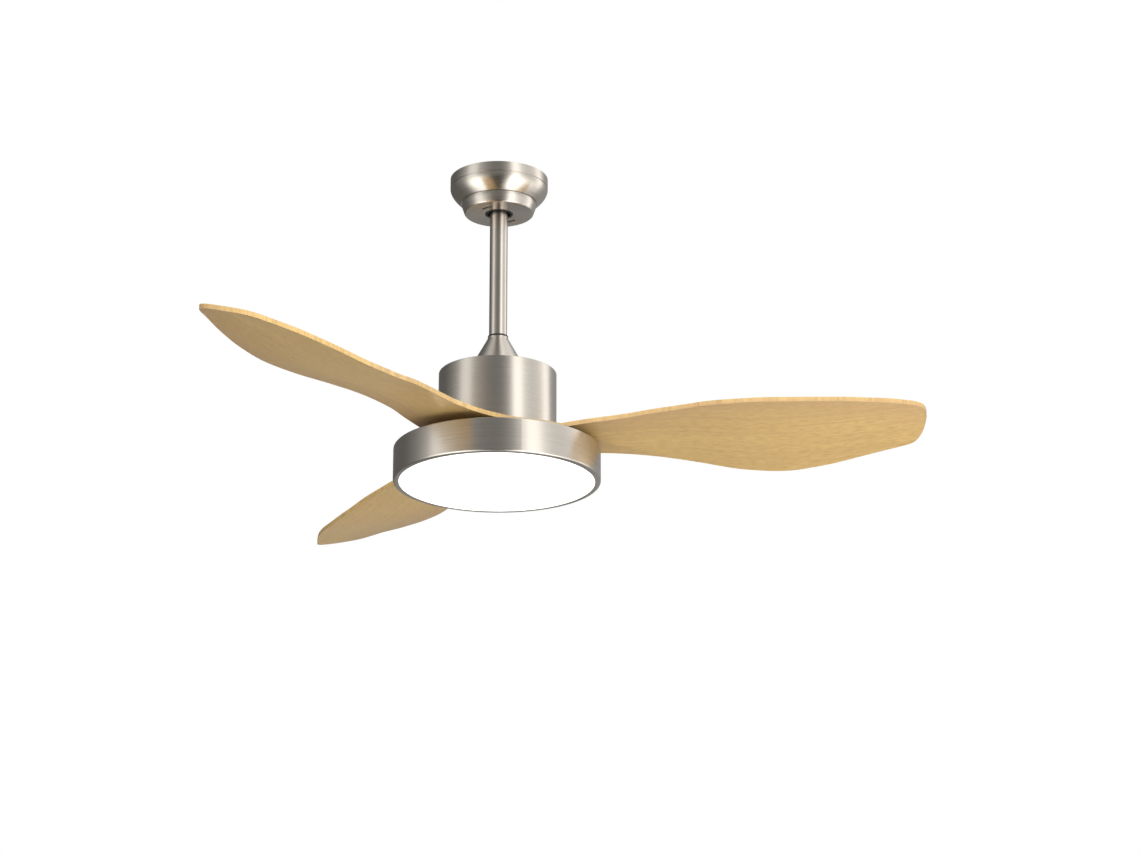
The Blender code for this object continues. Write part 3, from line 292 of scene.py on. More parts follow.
def make_finishes():
    for plain in bpy.data.materials:
        plain.name = "plain_" + plain.name
    made = {
        "brushed_nickel": brushed_nickel(),
        "blade_wood": blade_wood(),
        "opal_diffuser": opal_diffuser(),
    }
    iron, iron_edge = (0.17, 0.17, 0.19), (0.30, 0.30, 0.32)
    copper, copper_gap = (0.66, 0.26, 0.10), (0.30, 0.10, 0.04)
    core = grained("core_steel", iron, 0.8, 0.5, 600.0, 0.00002)
    wire = grained("copper_wire", copper, 1.0, 0.3, 500.0, 0.00002)
    simple = (
        grained("zinc_plated_steel", (0.56, 0.57, 0.59), 1.0, 0.34, 420.0, 0.00002, 0.2),
        grained("black_rubber", (0.018, 0.018, 0.019), 0.0, 0.7, 1400.0, 0.00004, 0.2, 0.2),
        grained("black_plastic", (0.026, 0.026, 0.028), 0.0, 0.45, 1100.0, 0.00004),
        grained("lead_jacket", (0.030, 0.030, 0.032), 0.0, 0.5, 800.0, 0.00002),
        grained("white_plastic", (0.80, 0.80, 0.78), 0.0, 0.4, 1100.0, 0.00004, 0.1, 0.03),
        solder_mask_board(),
        grained("black_steel", (0.025, 0.025, 0.026), 0.2, 0.5, 700.0, 0.00006),
        banded(core, iron, iron_edge, 0.5 * MM, 0.00008),
        banded(wire, copper, copper_gap, 0.8 * MM, 0.0002),
        grained("cast_aluminium", (0.62, 0.63, 0.64), 1.0, 0.48, 520.0, 0.0001, 0.16),
        grained("ferrite_magnet", (0.06, 0.06, 0.065), 0.1, 0.6, 650.0, 0.00006),
    )
    for finish in simple:
        made[finish.name] = finish.material
    return made


FINISHES = make_finishes()


# ---------------------------------------------------------------- making pieces


def hand_over(shape, name, nodes, finish=None, sharp_deg=34.0, merge=0.004 * MM):
    """Makes a shape an object on its nodes' body. It stands for them, unless it has its own finish."""
    bmesh.ops.remove_doubles(shape, verts=shape.verts, dist=merge)
    bmesh.ops.recalc_face_normals(shape, faces=shape.faces)
    mesh = bpy.data.meshes.new(name)
    shape.to_mesh(mesh)
    shape.free()
    slot = finish or SLOTS[nodes[0]]
    mesh.shade_smooth()
    mesh.set_sharp_from_angle(angle=math.radians(sharp_deg))
    mesh.materials.clear()
    mesh.materials.append(FINISHES[slot])
    piece = bpy.data.objects.new(name, mesh)
    bpy.context.scene.collection.objects.link(piece)
    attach(piece, NODES[nodes[0]]["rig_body"])
    if not finish:
        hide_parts(*nodes)


def rounded(corners, steps=5):
    """An outline from corners (radius, z, rounding): each rounding is an arc between its neighbours."""
    points = []
    for i, (radius, z, rounding) in enumerate(corners):
        corner = Vector((radius, z))
        if not rounding:
            points.append(corner)
            continue
        back = (Vector(corners[i - 1][:2]) - corner).normalized()
        ahead = (Vector(corners[(i + 1) % len(corners)][:2]) - corner).normalized()
        half = back.angle(ahead) / 2
        reach = rounding / math.tan(half)
        centre = corner + (back + ahead).normalized() * (rounding / math.sin(half))
        first = corner + back * reach - centre
        last = corner + ahead * reach - centre
        for step in range(steps + 1):
            points.append(centre + first.lerp(last, step / steps).normalized() * rounding)
    return points


def arc(radius, centre_z, first_z, last_z, steps):
    """Outline corners along a sphere, from one height to another."""
    first = math.asin((first_z - centre_z) / radius)
    last = math.asin((last_z - centre_z) / radius)
    angles = [first + (last - first) * i / steps for i in range(steps + 1)]
    return [(radius * math.cos(a), centre_z + radius * math.sin(a), 0.0) for a in angles]


def turned(points, steps=ROUND_STEPS):
    """Spins an outline round Z. It is a loop, unless it starts and ends on the axis."""
    shape = bmesh.new()
    verts = [shape.verts.new((radius, 0.0, z)) for radius, z in points]
    pairs = list(zip(verts, verts[1:]))
    if points[0][0] > 0.0:
        pairs.append((verts[-1], verts[0]))
    edges = [shape.edges.new(pair) for pair in pairs]
    bmesh.ops.spin(
        shape,
        geom=verts + edges,
        cent=(0.0, 0.0, 0.0),
        axis=(0.0, 0.0, 1.0),
        angle=FULL_TURN,
        steps=steps,
        use_merge=True,
    )
    return shape


def turned_piece(name, node, corners, steps=ROUND_STEPS):
    hand_over(turned(rounded(corners), steps), name, [node])


def rim_edges(shape):
    """The edges round an open shape's holes."""
    return [edge for edge in shape.edges if len(edge.link_faces) == 1]


def open_patch(shape, patch, outline):
    """Swaps a patch of faces for a hole with the given outline. Returns the hole's corners and edges."""
    inside = set(patch)
    edges = dict.fromkeys(edge for face in patch for edge in face.edges)
    rim = [edge for edge in edges if sum(face in inside for face in edge.link_faces) == 1]
    bmesh.ops.delete(shape, geom=patch, context="FACES")
    verts = [shape.verts.new(corner) for corner in outline]
    ring = [shape.edges.new(pair) for pair in zip(verts, verts[1:] + verts[:1])]
    bmesh.ops.bridge_loops(shape, edges=rim + ring)
    return verts, ring


def drill(shape, start, direction, radius, depths, snap=None, tolerance=0.5 * MM, sides=24):
    """Cuts a round hole through a wall whose two faces lie at the given depths along a line."""
    start, direction = Vector(start), Vector(direction)
    turn = direction.to_track_quat("Z", "Y")
    rings = []
    for order, depth in enumerate(depths):
        middle = start + direction * depth
        patch = []
        for face in shape.faces:
            away = face.calc_center_median() - middle
            along = away.dot(direction)
            if abs(along) < tolerance and (away - direction * along).length < 1.6 * radius:
                patch.append(face)
        circle = [middle + turn @ polar(radius, 360.0 * i / sides) for i in range(sides)]
        if snap:
            snap(circle, order)
        rings += open_patch(shape, patch, circle)[1]
    bmesh.ops.bridge_loops(shape, edges=rings)


def arc_slot(shape, radius, middle_deg, half_deg, width, ring, heights):
    """Cuts a curved slot through a flat sheet, inside the ring of faces between two radii."""
    slot = []
    for side, sign in ((radius + width / 2, 1), (radius - width / 2, -1)):
        slot += [(side, middle_deg + sign * half_deg * (i / 4 - 1)) for i in range(9)]
    rings = []
    for z in heights:
        patch = []
        for face in shape.faces:
            centre = face.calc_center_median()
            off = math.degrees(math.atan2(centre.y, centre.x)) - middle_deg
            near = abs((off + 180.0) % 360.0 - 180.0) < half_deg + 3.0
            if near and ring[0] < math.hypot(centre.x, centre.y) < ring[1] and abs(centre.z - z) < 0.3 * MM:
                patch.append(face)
        rings += open_patch(shape, patch, [polar(r, deg, z) for r, deg in slot])[1]
    bmesh.ops.bridge_loops(shape, edges=rings)


def soften(shape, edges, width, steps):
    """Rounds edges."""
    bmesh.ops.bevel(
        shape,
        geom=edges,
        offset=width,
        offset_type="OFFSET",
        segments=steps,
        profile=0.5,
        affect="EDGES",
        clamp_overlap=True,
        material=-1,
    )


def slice_at(shape, place, direction, near, geom=None):
    """Adds edges where a plane crosses a shape, and keeps both sides."""
    geom = geom or shape.verts[:] + shape.edges[:] + shape.faces[:]
    bmesh.ops.bisect_plane(shape, geom=geom, dist=near, plane_co=place, plane_no=direction)


def dressed(node, name, width, steps=2):
    """A node's own shape with whole faces and rounded edges."""
    shape = bmesh.new()
    shape.from_mesh(NODES[node].data)
    bmesh.ops.remove_doubles(shape, verts=shape.verts, dist=0.002 * MM)
    flat, limit = math.radians(1.0), math.radians(30.0)
    bmesh.ops.dissolve_limit(shape, angle_limit=flat, verts=shape.verts, edges=shape.edges)
    sharp = [edge for edge in shape.edges if len(edge.link_faces) == 2 and edge.calc_face_angle() > limit]
    soften(shape, sharp, width, steps)
    hand_over(shape, name, [node], merge=0.001 * MM)


def polar(radius, degrees, z=0.0):
    angle = math.radians(degrees)
    return Vector((radius * math.cos(angle), radius * math.sin(angle), z))


def screw_place(node):
    """A screw's x and y."""
    low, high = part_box(node)
    return (low.x + high.x) / 2, (low.y + high.y) / 2


def reach(node):
    """A turned node's outer radius, top and bottom."""
    low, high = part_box(node)
    return high.x, high.z, low.z


# ---------------------------------------------------------------- nickel shells

SHEET = 1.0 * MM
SCREW_HOLE_R = 2.2 * MM


def make_canopy():
    radius, top, low = reach("canopy")
    step_radius = 59.8 * MM
    groove_top = top - 15.0 * MM
    bell_top = groove_top - 2.2 * MM
    groove = 1.2 * MM
    outer = [
        (radius, top, 0.2 * MM),
        (radius, groove_top, 0.35 * MM),
        (radius - groove, groove_top - 0.45 * MM, 0.2 * MM),
        (radius - groove, bell_top + 0.45 * MM, 0.2 * MM),
        (radius, bell_top, 0.35 * MM),
    ]
    bell_steps = 26
    for i in range(1, bell_steps):
        share = i / bell_steps
        outer.append((radius - (radius - step_radius) * share**1.7, bell_top + (low - bell_top) * share, 0.0))
    screw_x = screw_place("canopy_screw_1")[0]
    around = (abs(screw_x) + 5.0 * MM, abs(screw_x) - 5.0 * MM)
    bottom = [(step_radius, low, 0.8 * MM)] + [(radius, low, 0.0) for radius in around]
    bottom += [(33.0 * MM, low, 0.2 * MM), (33.0 * MM, low + SHEET, 0.2 * MM)]
    inner = [(radius, low + SHEET, 0.0) for radius in around[::-1]]
    for i in range(bell_steps - 1, 0, -1):
        share = i / bell_steps
        wall_radius = radius - SHEET - (radius - step_radius) * share**1.7
        inner.append((wall_radius, bell_top + (low - bell_top) * share + SHEET * share, 0.0))
    inner += [(radius - SHEET - groove, groove_top, 0.0), (radius - SHEET, groove_top + SHEET, 0.0)]
    inner.append((radius - SHEET, top, 0.2 * MM))
    shape = turned(rounded(outer + bottom + inner))
    for x in (-screw_x, screw_x):
        drill(shape, (x, 0.0, low), (0.0, 0.0, 1.0), SCREW_HOLE_R, (0.0, SHEET))
    hand_over(shape, "turned_canopy", ["canopy"])


# Two curved slots in the cover's bottom let it twist on and off.
COVER_SLOT_R = 33.5 * MM
COVER_SLOT_DEG = (56.0, -125.0)
COVER_SLOT_HALF_DEG = 15.0
COVER_SLOT_WIDTH = 3.6 * MM


def make_canopy_cover():
    radius, top, low = reach("canopy_cover")
    hole = 21.9 * MM
    slots = (COVER_SLOT_R - 4.5 * MM, COVER_SLOT_R + 4.5 * MM)
    outer = [
        (radius - 0.2 * MM, top, 0.15 * MM),
        (radius - 0.2 * MM, top - 4.5 * MM, 4.0 * MM),
        (radius - 4.6 * MM, low, 3.4 * MM),
        (slots[1], low, 0.0),
        (slots[0], low, 0.0),
        (hole, low, 0.35 * MM),
        (hole, low + SHEET, 0.35 * MM),
        (slots[0], low + SHEET, 0.0),
        (slots[1], low + SHEET, 0.0),
        (radius - 5.4 * MM, low + SHEET, 2.6 * MM),
        (radius - SHEET - 0.2 * MM, top - 4.5 * MM, 3.4 * MM),
        (radius - SHEET - 0.2 * MM, top, 0.15 * MM),
    ]
    shape = turned(rounded(outer))
    for middle_deg in COVER_SLOT_DEG:
        sides = (low, low + SHEET)
        arc_slot(shape, COVER_SLOT_R, middle_deg, COVER_SLOT_HALF_DEG, COVER_SLOT_WIDTH, slots, sides)
    hand_over(shape, "turned_canopy_cover", ["canopy_cover"])
    flange, seal_top, seal_low = reach("canopy_seal")
    groove = seal_top - 1.2 * MM
    seal = [
        (flange, seal_top, 0.4 * MM),
        (flange, groove, 0.3 * MM),
        (21.5 * MM, groove, 0.1 * MM),
        (21.5 * MM, seal_low, 0.5 * MM),
        (17.8 * MM, seal_low, 0.9 * MM),
        (17.8 * MM, seal_top, 0.4 * MM),
    ]
    turned_piece("rubber_canopy_ring", "canopy_seal", seal, 96)


def make_downrod():
    radius, top, low = reach("downrod")
    bore = 12.2 * MM
    edge = 0.5 * MM
    corners = [(radius, top, edge), (radius, low, edge), (bore, low, edge), (bore, top, edge)]
    turned_piece("steel_downrod", "downrod", corners, 96)


def make_coupling_cover():
    radius, top, low = reach("coupling_cover")
    wall = 1.3 * MM
    neck = 16.0 * MM
    bore = 14.6 * MM
    corners = [
        (neck, top, 0.7 * MM),
        (neck, top - 2.4 * MM, 7.0 * MM),
        (radius, low + 1.2 * MM, 0.5 * MM),
        (radius, low, 0.3 * MM),
        (radius - wall, low, 0.3 * MM),
        (bore, top - 3.2 * MM, 2.0 * MM),
        (bore, top, 0.4 * MM),
    ]
    turned_piece("spun_coupling_cone", "coupling_cover", corners)
    ring, ring_top, ring_low = reach("coupling_cover_seal")
    inner = 14.4 * MM
    seal = [
        (ring, ring_top, 0.6 * MM),
        (ring, ring_low, 0.5 * MM),
        (inner, ring_low, 0.3 * MM),
        (inner, ring_top, 0.3 * MM),
    ]
    turned_piece("rubber_cone_ring", "coupling_cover_seal", seal, 96)


def make_motor_cover():
    radius, top, low = reach("motor_cover")
    wall = 1.4 * MM
    lid = 1.2 * MM
    hole = 20.5 * MM
    corners = [
        (radius, top, 1.0 * MM),
        (radius, low, 0.5 * MM),
        (radius - wall, low, 0.5 * MM),
        (radius - wall, top - lid, 0.6 * MM),
        (38.0 * MM, top - lid, 0.0),
        (28.0 * MM, top - lid, 0.0),
        (hole, top - lid, 0.3 * MM),
        (hole, top, 0.3 * MM),
        (28.0 * MM, top, 0.0),
        (38.0 * MM, top, 0.0),
    ]
    shape = turned(rounded(corners))
    for number in range(1, 4):
        x, y = screw_place(f"cover_screw_{number}")
        drill(shape, (x, y, top), (0.0, 0.0, -1.0), SCREW_HOLE_R, (0.0, lid))
    hand_over(shape, "spun_motor_cover", ["motor_cover"])


def make_lamp_pan():
    radius, top, low = reach("lamp_pan")
    wall = 1.4 * MM
    lip = 150.3 * MM
    hole = 19.0 * MM
    corners = [
        (radius, top, 2.0 * MM),
        (radius, low, 3.4 * MM),
        (lip, low, 0.4 * MM),
        (lip, low + wall, 0.4 * MM),
        (radius - wall, low + wall, 2.2 * MM),
        (radius - wall, top - wall, 1.0 * MM),
        (41.0 * MM, top - wall, 0.0),
        (31.0 * MM, top - wall, 0.0),
        (hole, top - wall, 0.3 * MM),
        (hole, top, 0.3 * MM),
        (31.0 * MM, top, 0.0),
        (41.0 * MM, top, 0.0),
    ]
    shape = turned(rounded(corners), 192)
    for number in range(1, 4):
        x, y = screw_place(f"pan_screw_{number}")
        drill(shape, (x, y, top), (0.0, 0.0, -1.0), SCREW_HOLE_R, (0.0, wall))
    hand_over(shape, "spun_lamp_pan", ["lamp_pan"])


def make_diffuser():
    bead, top, low = reach("diffuser")
    radius = 149.7 * MM
    wall = 2.2 * MM
    corners = [
        (0.0, low + wall, 0.0),
        (radius - wall, low + wall, 1.2 * MM),
        (radius - wall, top, 0.4 * MM),
        (radius, top, 0.4 * MM),
        (radius, low + 5.8 * MM, 0.2 * MM),
        (bead, low + 4.4 * MM, 0.4 * MM),
        (bead, low + 2.8 * MM, 0.4 * MM),
        (radius, low + 1.9 * MM, 0.1 * MM),
        (radius, low, 0.7 * MM),
        (0.0, low, 0.0),
    ]
    turned_piece("opal_light_disc", "diffuser", corners, 192)


# ---------------------------------------------------------------- blades

# Plan outline, from the hub to the tip: x runs out along the blade, y towards the trailing edge.
LEADING_EDGE = (
    (0.0240, -0.0240), (0.0600, -0.0475), (0.1000, -0.0588), (0.1500, -0.0600),
    (0.2000, -0.0582), (0.2700, -0.0690), (0.3500, -0.0883), (0.4300, -0.0957),
    (0.5100, -0.0862), (0.5800, -0.0672), (0.6250, -0.0505),
)
TRAILING_EDGE = (
    (0.0300, 0.1107), (0.0690, 0.0849), (0.1000, 0.0725), (0.1400, 0.0633),
    (0.1800, 0.0623), (0.2250, 0.0673), (0.2800, 0.0786), (0.3500, 0.0937),
    (0.4300, 0.1012), (0.5000, 0.0945), (0.5600, 0.0796), (0.6150, 0.0616),
)
TIP_EDGE = (
    (0.6150, 0.0616), (0.6350, 0.0535), (0.6450, 0.0425), (0.6530, 0.0220),
    (0.6575, -0.0050), (0.6575, -0.0220), (0.6520, -0.0360), (0.6400, -0.0445),
    (0.6250, -0.0505),
)
# Distance out, height of the underside above or below the root, and pitch in degrees.
BLADE_STATIONS = (
    (0.0400, 0.0000, 0.0),
    (0.0800, 0.0000, 0.0),
    (0.1200, 0.0023, 2.2),
    (0.1600, 0.0046, 5.1),
    (0.2000, 0.0064, 8.3),
    (0.2500, 0.0075, 10.8),
    (0.3100, 0.0057, 12.2),
    (0.3800, 0.0009, 13.3),
    (0.4400, -0.0006, 13.5),
    (0.5000, 0.0027, 13.3),
    (0.5600, 0.0083, 13.5),
    (0.6200, 0.0135, 15.5),
    (0.6700, 0.0160, 17.0),
)
# The ridge under the root runs from the leading edge across to the trailing edge.
RIDGE = (
    (0.1180, -0.0600), (0.1450, -0.0100), (0.1600, 0.0060),
    (0.1880, 0.0320), (0.2130, 0.0450), (0.2770, 0.0780),
)
RIDGE_DEPTH = 3.0 * MM
RIDGE_CURVE = 1.7
BLADES = 3
FIRST_BLADE_DEG = -6.2
BLADE_THICKNESS = 7.0 * MM
HUB_RADIUS = 34.0 * MM
ROOT_GAP_DEG = 1.0
ROOT_END_X = 112.0 * MM
EDGE_ROUNDING = 2.6 * MM
# The plan is this much of the frame's blade, so that its finer outline stays inside the frame's box.
INSIDE_FRAME = 0.9985
# Spacing of the outline and of the cuts near the ridge, of the cuts farther out, and of the cuts across.
FINE_STEP = 2.6 * MM
COARSE_STEP = 7.0 * MM
ACROSS_STEP = 4.2 * MM
FINE_END_X = 290.0 * MM
CUT_NEAR = 0.02 * MM
# The underside's wood gets a painted shade, darker and rosier, towards the leading edge, over this width.
LEADING_SHADE_BAND = 75.0 * MM


def smooth_points(points, spacing):
    """Evenly spaced points on a smooth curve through the given ones."""
    vectors = [Vector(point) for point in points]
    padded = [2 * vectors[0] - vectors[1]] + vectors + [2 * vectors[-1] - vectors[-2]]
    fine = []
    steps = 24
    for i in range(1, len(padded) - 2):
        a, b, c, d = padded[i - 1 : i + 3]
        for step in range(steps):
            t = step / steps
            line = 2 * b + (c - a) * t
            bend = (2 * a - 5 * b + 4 * c - d) * t**2 + (3 * b - 3 * c + d - a) * t**3
            fine.append((line + bend) / 2)
    fine.append(vectors[-1])
    return respaced(fine, spacing)


def respaced(points, spacing):
    """The same line with its points at even distances, close to the wanted spacing."""
    lengths = [0.0]
    for first, second in zip(points, points[1:]):
        lengths.append(lengths[-1] + (second - first).length)
    count = max(1, round(lengths[-1] / spacing))
    spaced = []
    at = 0
    for i in range(count + 1):
        wanted = lengths[-1] * i / count
        while at < len(points) - 2 and lengths[at + 1] < wanted:
            at += 1
        share = (wanted - lengths[at]) / (lengths[at + 1] - lengths[at])
        spaced.append(points[at].lerp(points[at + 1], share))
    return spaced


def smooth_value(table, x, column):
    """A smooth curve through the table's values that makes no bumps of its own."""
    rows = [(row[0], row[column]) for row in table]
    x = min(max(x, rows[0][0]), rows[-1][0])
    slopes = [(b[1] - a[1]) / (b[0] - a[0]) for a, b in zip(rows, rows[1:])]
    tangents = [slopes[0]]
    for left, right in zip(slopes, slopes[1:]):
        tangents.append(0.0 if left * right <= 0 else 2 * left * right / (left + right))
    tangents.append(slopes[-1])
    i = max(n for n in range(len(rows) - 1) if rows[n][0] <= x)
    width = rows[i + 1][0] - rows[i][0]
    t = (x - rows[i][0]) / width
    rise = rows[i + 1][1] - rows[i][1]
    ease = t * t * (3 - 2 * t)
    into = t * (1 - t) ** 2 * tangents[i] * width
    out = t * t * (t - 1) * tangents[i + 1] * width
    return rows[i][1] + rise * ease + into + out


def blade_outline(spacing):
    """The plan's closed outline: leading edge, tip, trailing edge, root line and the hub's arc."""
    leading = smooth_points(LEADING_EDGE, spacing)
    near = [point for point in leading if point.x <= ROOT_END_X]
    turn = Matrix.Rotation(math.radians(360.0 / BLADES - ROOT_GAP_DEG), 2)
    root_line = [turn @ point for point in near]
    trailing = smooth_points([root_line[-1]] + [Vector(point) for point in TRAILING_EDGE], spacing)
    tip = smooth_points(TIP_EDGE, spacing)
    start, end = (math.atan2(point.y, point.x) for point in (root_line[0], near[0]))
    arc_steps = max(2, round(HUB_RADIUS * (start - end) / spacing))
    hub = [start + (end - start) * i / arc_steps for i in range(1, arc_steps)]
    hub = [Vector((HUB_RADIUS * math.cos(angle), HUB_RADIUS * math.sin(angle))) for angle in hub]
    outline = leading + tip[::-1][1:] + trailing[::-1][1:] + root_line[::-1][1:] + hub
    return [point * INSIDE_FRAME for point in outline]


def blade_height(x, y):
    """Height of the flat, twisted underside over the root's underside."""
    rise = smooth_value(BLADE_STATIONS, x, 1)
    pitch = math.radians(smooth_value(BLADE_STATIONS, x, 2))
    return rise - math.tan(pitch) * y


def ridge_drop(x, y, edges):
    """How far the ridge hangs below the underside."""
    first, last = RIDGE[0][0], RIDGE[-1][0]
    if not first < x < last:
        return 0.0
    line = smooth_value(RIDGE, x, 1)
    trailing_y, leading_y = edges(x)
    edge = trailing_y if y > line else leading_y
    share = (edge - y) / (edge - line) if abs(edge - line) > 0.1 * MM else 0.0
    fade = math.sin(math.pi * (x - first) / (last - first))
    return RIDGE_DEPTH * fade * min(max(share, 0.0), 1.0) ** RIDGE_CURVE


def crease_plan(shape):
    """Cuts the plan along the ridge's line, so that its crease has edges to follow."""
    width = FINE_STEP
    x = RIDGE[0][0]
    while x < RIDGE[-1][0]:
        first = Vector((x, smooth_value(RIDGE, x, 1), 0.0))
        last = Vector((x + width, smooth_value(RIDGE, x + width, 1), 0.0))
        along = last - first
        column = [face for face in shape.faces if x < face.calc_center_median().x < x + width]
        edges = dict.fromkeys(edge for face in column for edge in face.edges)
        verts = dict.fromkeys(vert for face in column for vert in face.verts)
        geom = column + list(edges) + list(verts)
        normal = (-along.y, along.x, 0.0)
        slice_at(shape, first, normal, CUT_NEAR, geom)
        x += width


def make_blade_plan(outline):
    """The plan as a flat face, with rings of faces round its edge and a grid of cuts over the rest.

    The inset layer holds every point's distance from the outline, up to the edge's rounding.
    """
    shape = bmesh.new()
    inset = shape.verts.layers.float.new("inset")
    face = shape.faces.new([shape.verts.new((point.x, point.y, 0.0)) for point in outline])
    ring_angles = [math.radians(22.5 * i) for i in range(5)]
    for before, after in zip(ring_angles, ring_angles[1:]):
        step = EDGE_ROUNDING * (math.cos(before) - math.cos(after))
        bmesh.ops.inset_region(shape, faces=[face], thickness=step, use_even_offset=True)
        for vert in face.verts:
            vert[inset] = EDGE_ROUNDING * (1.0 - math.cos(after))
    cuts = []
    x = 30.0 * MM
    while x < 656.0 * MM:
        cuts.append(((x, 0.0, 0.0), (1.0, 0.0, 0.0)))
        x += FINE_STEP if x < FINE_END_X else COARSE_STEP
    for i in range(-24, 32):
        cuts.append(((0.0, ACROSS_STEP * i, 0.0), (0.0, 1.0, 0.0)))
    for place, direction in cuts:
        slice_at(shape, place, direction, CUT_NEAR)
    crease_plan(shape)
    unturn = Matrix.Rotation(math.radians(-FIRST_BLADE_DEG), 3, "Z")
    for order in range(1, 4):
        place = unturn @ Vector((*screw_place(f"blade_screw_1_{order}"), 0.0))
        patch = [face for face in shape.faces if (face.calc_center_median() - place).length < 4.2 * MM]
        hole = [place + polar(2.4 * MM, 15.0 * i) for i in range(24)]
        for vert in open_patch(shape, patch, hole)[0]:
            vert[inset] = EDGE_ROUNDING
    return shape


def edge_limits(outline):
    """Returns a function that gives the plan's trailing and leading y at a distance out."""
    low_side = sorted((point.x, point.y) for point in outline if point.y < 0.0)
    high_side = sorted((point.x, point.y) for point in outline if point.y > 0.0)

    def read(side, x):
        at = min(range(len(side)), key=lambda i: abs(side[i][0] - x))
        return side[at][1]

    cache = {}

    def limits(x):
        key = round(x / (0.1 * MM))
        if key not in cache:
            cache[key] = (read(high_side, x), read(low_side, x))
        return cache[key]

    return limits


def make_blade_shape():
    outline = blade_outline(FINE_STEP)
    limits = edge_limits(outline)
    shape = make_blade_plan(outline)
    painted_edge_highlight = shape.verts.layers.float.new("painted_edge_highlight")
    leading = shape.verts.layers.float.new("leading")
    inset = shape.verts.layers.float["inset"]
    low_verts = shape.verts[:]
    made = bmesh.ops.extrude_face_region(shape, geom=shape.faces[:], use_keep_orig=True)
    high_verts = [item for item in made["geom"] if isinstance(item, bmesh.types.BMVert)]
    for verts, top in ((low_verts, False), (high_verts, True)):
        for vert in verts:
            x, y = vert.co.x, vert.co.y
            away = EDGE_ROUNDING - min(vert[inset], EDGE_ROUNDING)
            bend = EDGE_ROUNDING - math.sqrt(EDGE_ROUNDING**2 - away**2)
            height = blade_height(x, y)
            if top:
                vert.co.z = height + BLADE_THICKNESS - bend
            else:
                vert.co.z = height - ridge_drop(x, y, limits) + bend
            # Painted shade: how near each underside point is to the leading edge, where the darker, rosier
            # tone is mixed in.
            from_front = (y - limits(x)[1]) / LEADING_SHADE_BAND
            vert[leading] = 0.0 if top else max(0.0, 1.0 - from_front) ** 1.5
            # Painted highlight: the mask is full at the edge of the top and somewhat less on the underside.
            vert[painted_edge_highlight] = away / EDGE_ROUNDING if top else 0.8 * away / EDGE_ROUNDING
    bmesh.ops.recalc_face_normals(shape, faces=shape.faces)
    return shape


def make_blades():
    blank = make_blade_shape()
    for number in range(1, BLADES + 1):
        heading = FIRST_BLADE_DEG - 360.0 * (number - 1) / BLADES
        shape = blank.copy()
        grain = shape.loops.layers.uv.new("grain")
        for face in shape.faces:
            for loop in face.loops:
                loop[grain].uv = (loop.vert.co.x + 1.37 * number, loop.vert.co.y + 0.61 * number)
        bmesh.ops.rotate(shape, verts=shape.verts, matrix=Matrix.Rotation(math.radians(heading), 3, "Z"))
        bmesh.ops.translate(shape, verts=shape.verts, vec=(0.0, 0.0, blade_root_z()))
        hand_over(shape, f"oak_blade_{number}", [f"blade_{number}"], sharp_deg=60.0, merge=0.001 * MM)
    blank.free()


def blade_root_z():
    """The blades' root underside is a small gap above their screws' heads."""
    screw_low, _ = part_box("blade_screw_1_1")
    return screw_low.z + 2.8 * MM


# ---------------------------------------------------------------- screws and pins

THREAD_PITCH = 0.7 * MM
# Head height and shank radius of each kind of screw.
SCREW_SIZES = {
    "canopy": (2.2 * MM, 1.6 * MM),
    "cover": (2.0 * MM, 1.7 * MM),
    "rotor": (2.0 * MM, 1.5 * MM),
    "blade": (2.4 * MM, 1.9 * MM),
    "pan": (2.2 * MM, 1.7 * MM),
}


def sink(shape, outline, depth, taper):
    """Closes an open shape's rim with a face that has a sunk outline in it."""
    rim = rim_edges(shape)
    verts = [shape.verts.new(corner) for corner in outline]
    edges = [shape.edges.new(pair) for pair in zip(verts, verts[1:] + verts[:1])]
    bmesh.ops.bridge_loops(shape, edges=rim + edges)
    made = bmesh.ops.extrude_edge_only(shape, edges=edges)["geom"]
    deep = [item for item in made if isinstance(item, bmesh.types.BMVert)]
    bmesh.ops.translate(shape, verts=deep, vec=(0.0, 0.0, depth))
    bmesh.ops.scale(shape, verts=deep, vec=(taper, taper, 1.0))
    bmesh.ops.contextual_create(shape, geom=rim_edges(shape))


def cross_outline(reach_out, half_width, z):
    corners = ((reach_out, -half_width), (reach_out, half_width), (half_width, half_width))
    quarters = [Matrix.Rotation(math.radians(90.0 * i), 3, "Z") for i in range(4)]
    return [quarter @ Vector((*corner, z)) for quarter in quarters for corner in corners]


def thread(radius, first, last):
    """Outline corners of a thread's crests, from one height down to another."""
    turns = max(1, int((first - last) / THREAD_PITCH))
    corners = []
    for i in range(turns):
        top = first - i * THREAD_PITCH
        corners += [(0.82 * radius, top, 0.0), (radius, top - THREAD_PITCH / 2, 0.0)]
    return corners


def make_screw(node, up):
    """A pan-head screw with a cross recess. Its shank points up, or down if up is False."""
    low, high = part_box(node)
    x, y = screw_place(node)
    head_r = (high.x - low.x) / 2
    head_h, shank_r = SCREW_SIZES[node.split("_screw_")[0]]
    length = high.z - low.z - head_h
    corners = [(0.0, length, 0.0), (0.7 * shank_r, length, 0.0)]
    corners += thread(shank_r, length - 0.4 * MM, 0.5 * MM)
    corners += [(0.9 * shank_r, 0.4 * MM, 0.0), (0.9 * shank_r, 0.0, 0.0)]
    corners += [(head_r, 0.0, 0.15 * MM), (head_r, -0.35 * head_h, 0.35 * MM)]
    corners += [(0.82 * head_r, -head_h, 0.5 * MM), (0.66 * head_r, -head_h, 0.0)]
    shape = turned(rounded(corners, 3), 24)
    sink(shape, cross_outline(0.52 * head_r, 0.13 * head_r, -head_h), 0.6 * head_h, 0.7)
    if not up:
        bmesh.ops.rotate(shape, verts=shape.verts, matrix=Matrix.Rotation(math.pi, 3, "X"))
    seat = low.z + head_h if up else high.z - head_h
    bmesh.ops.translate(shape, verts=shape.verts, vec=(x, y, seat))
    hand_over(shape, "cross_" + node, [node])


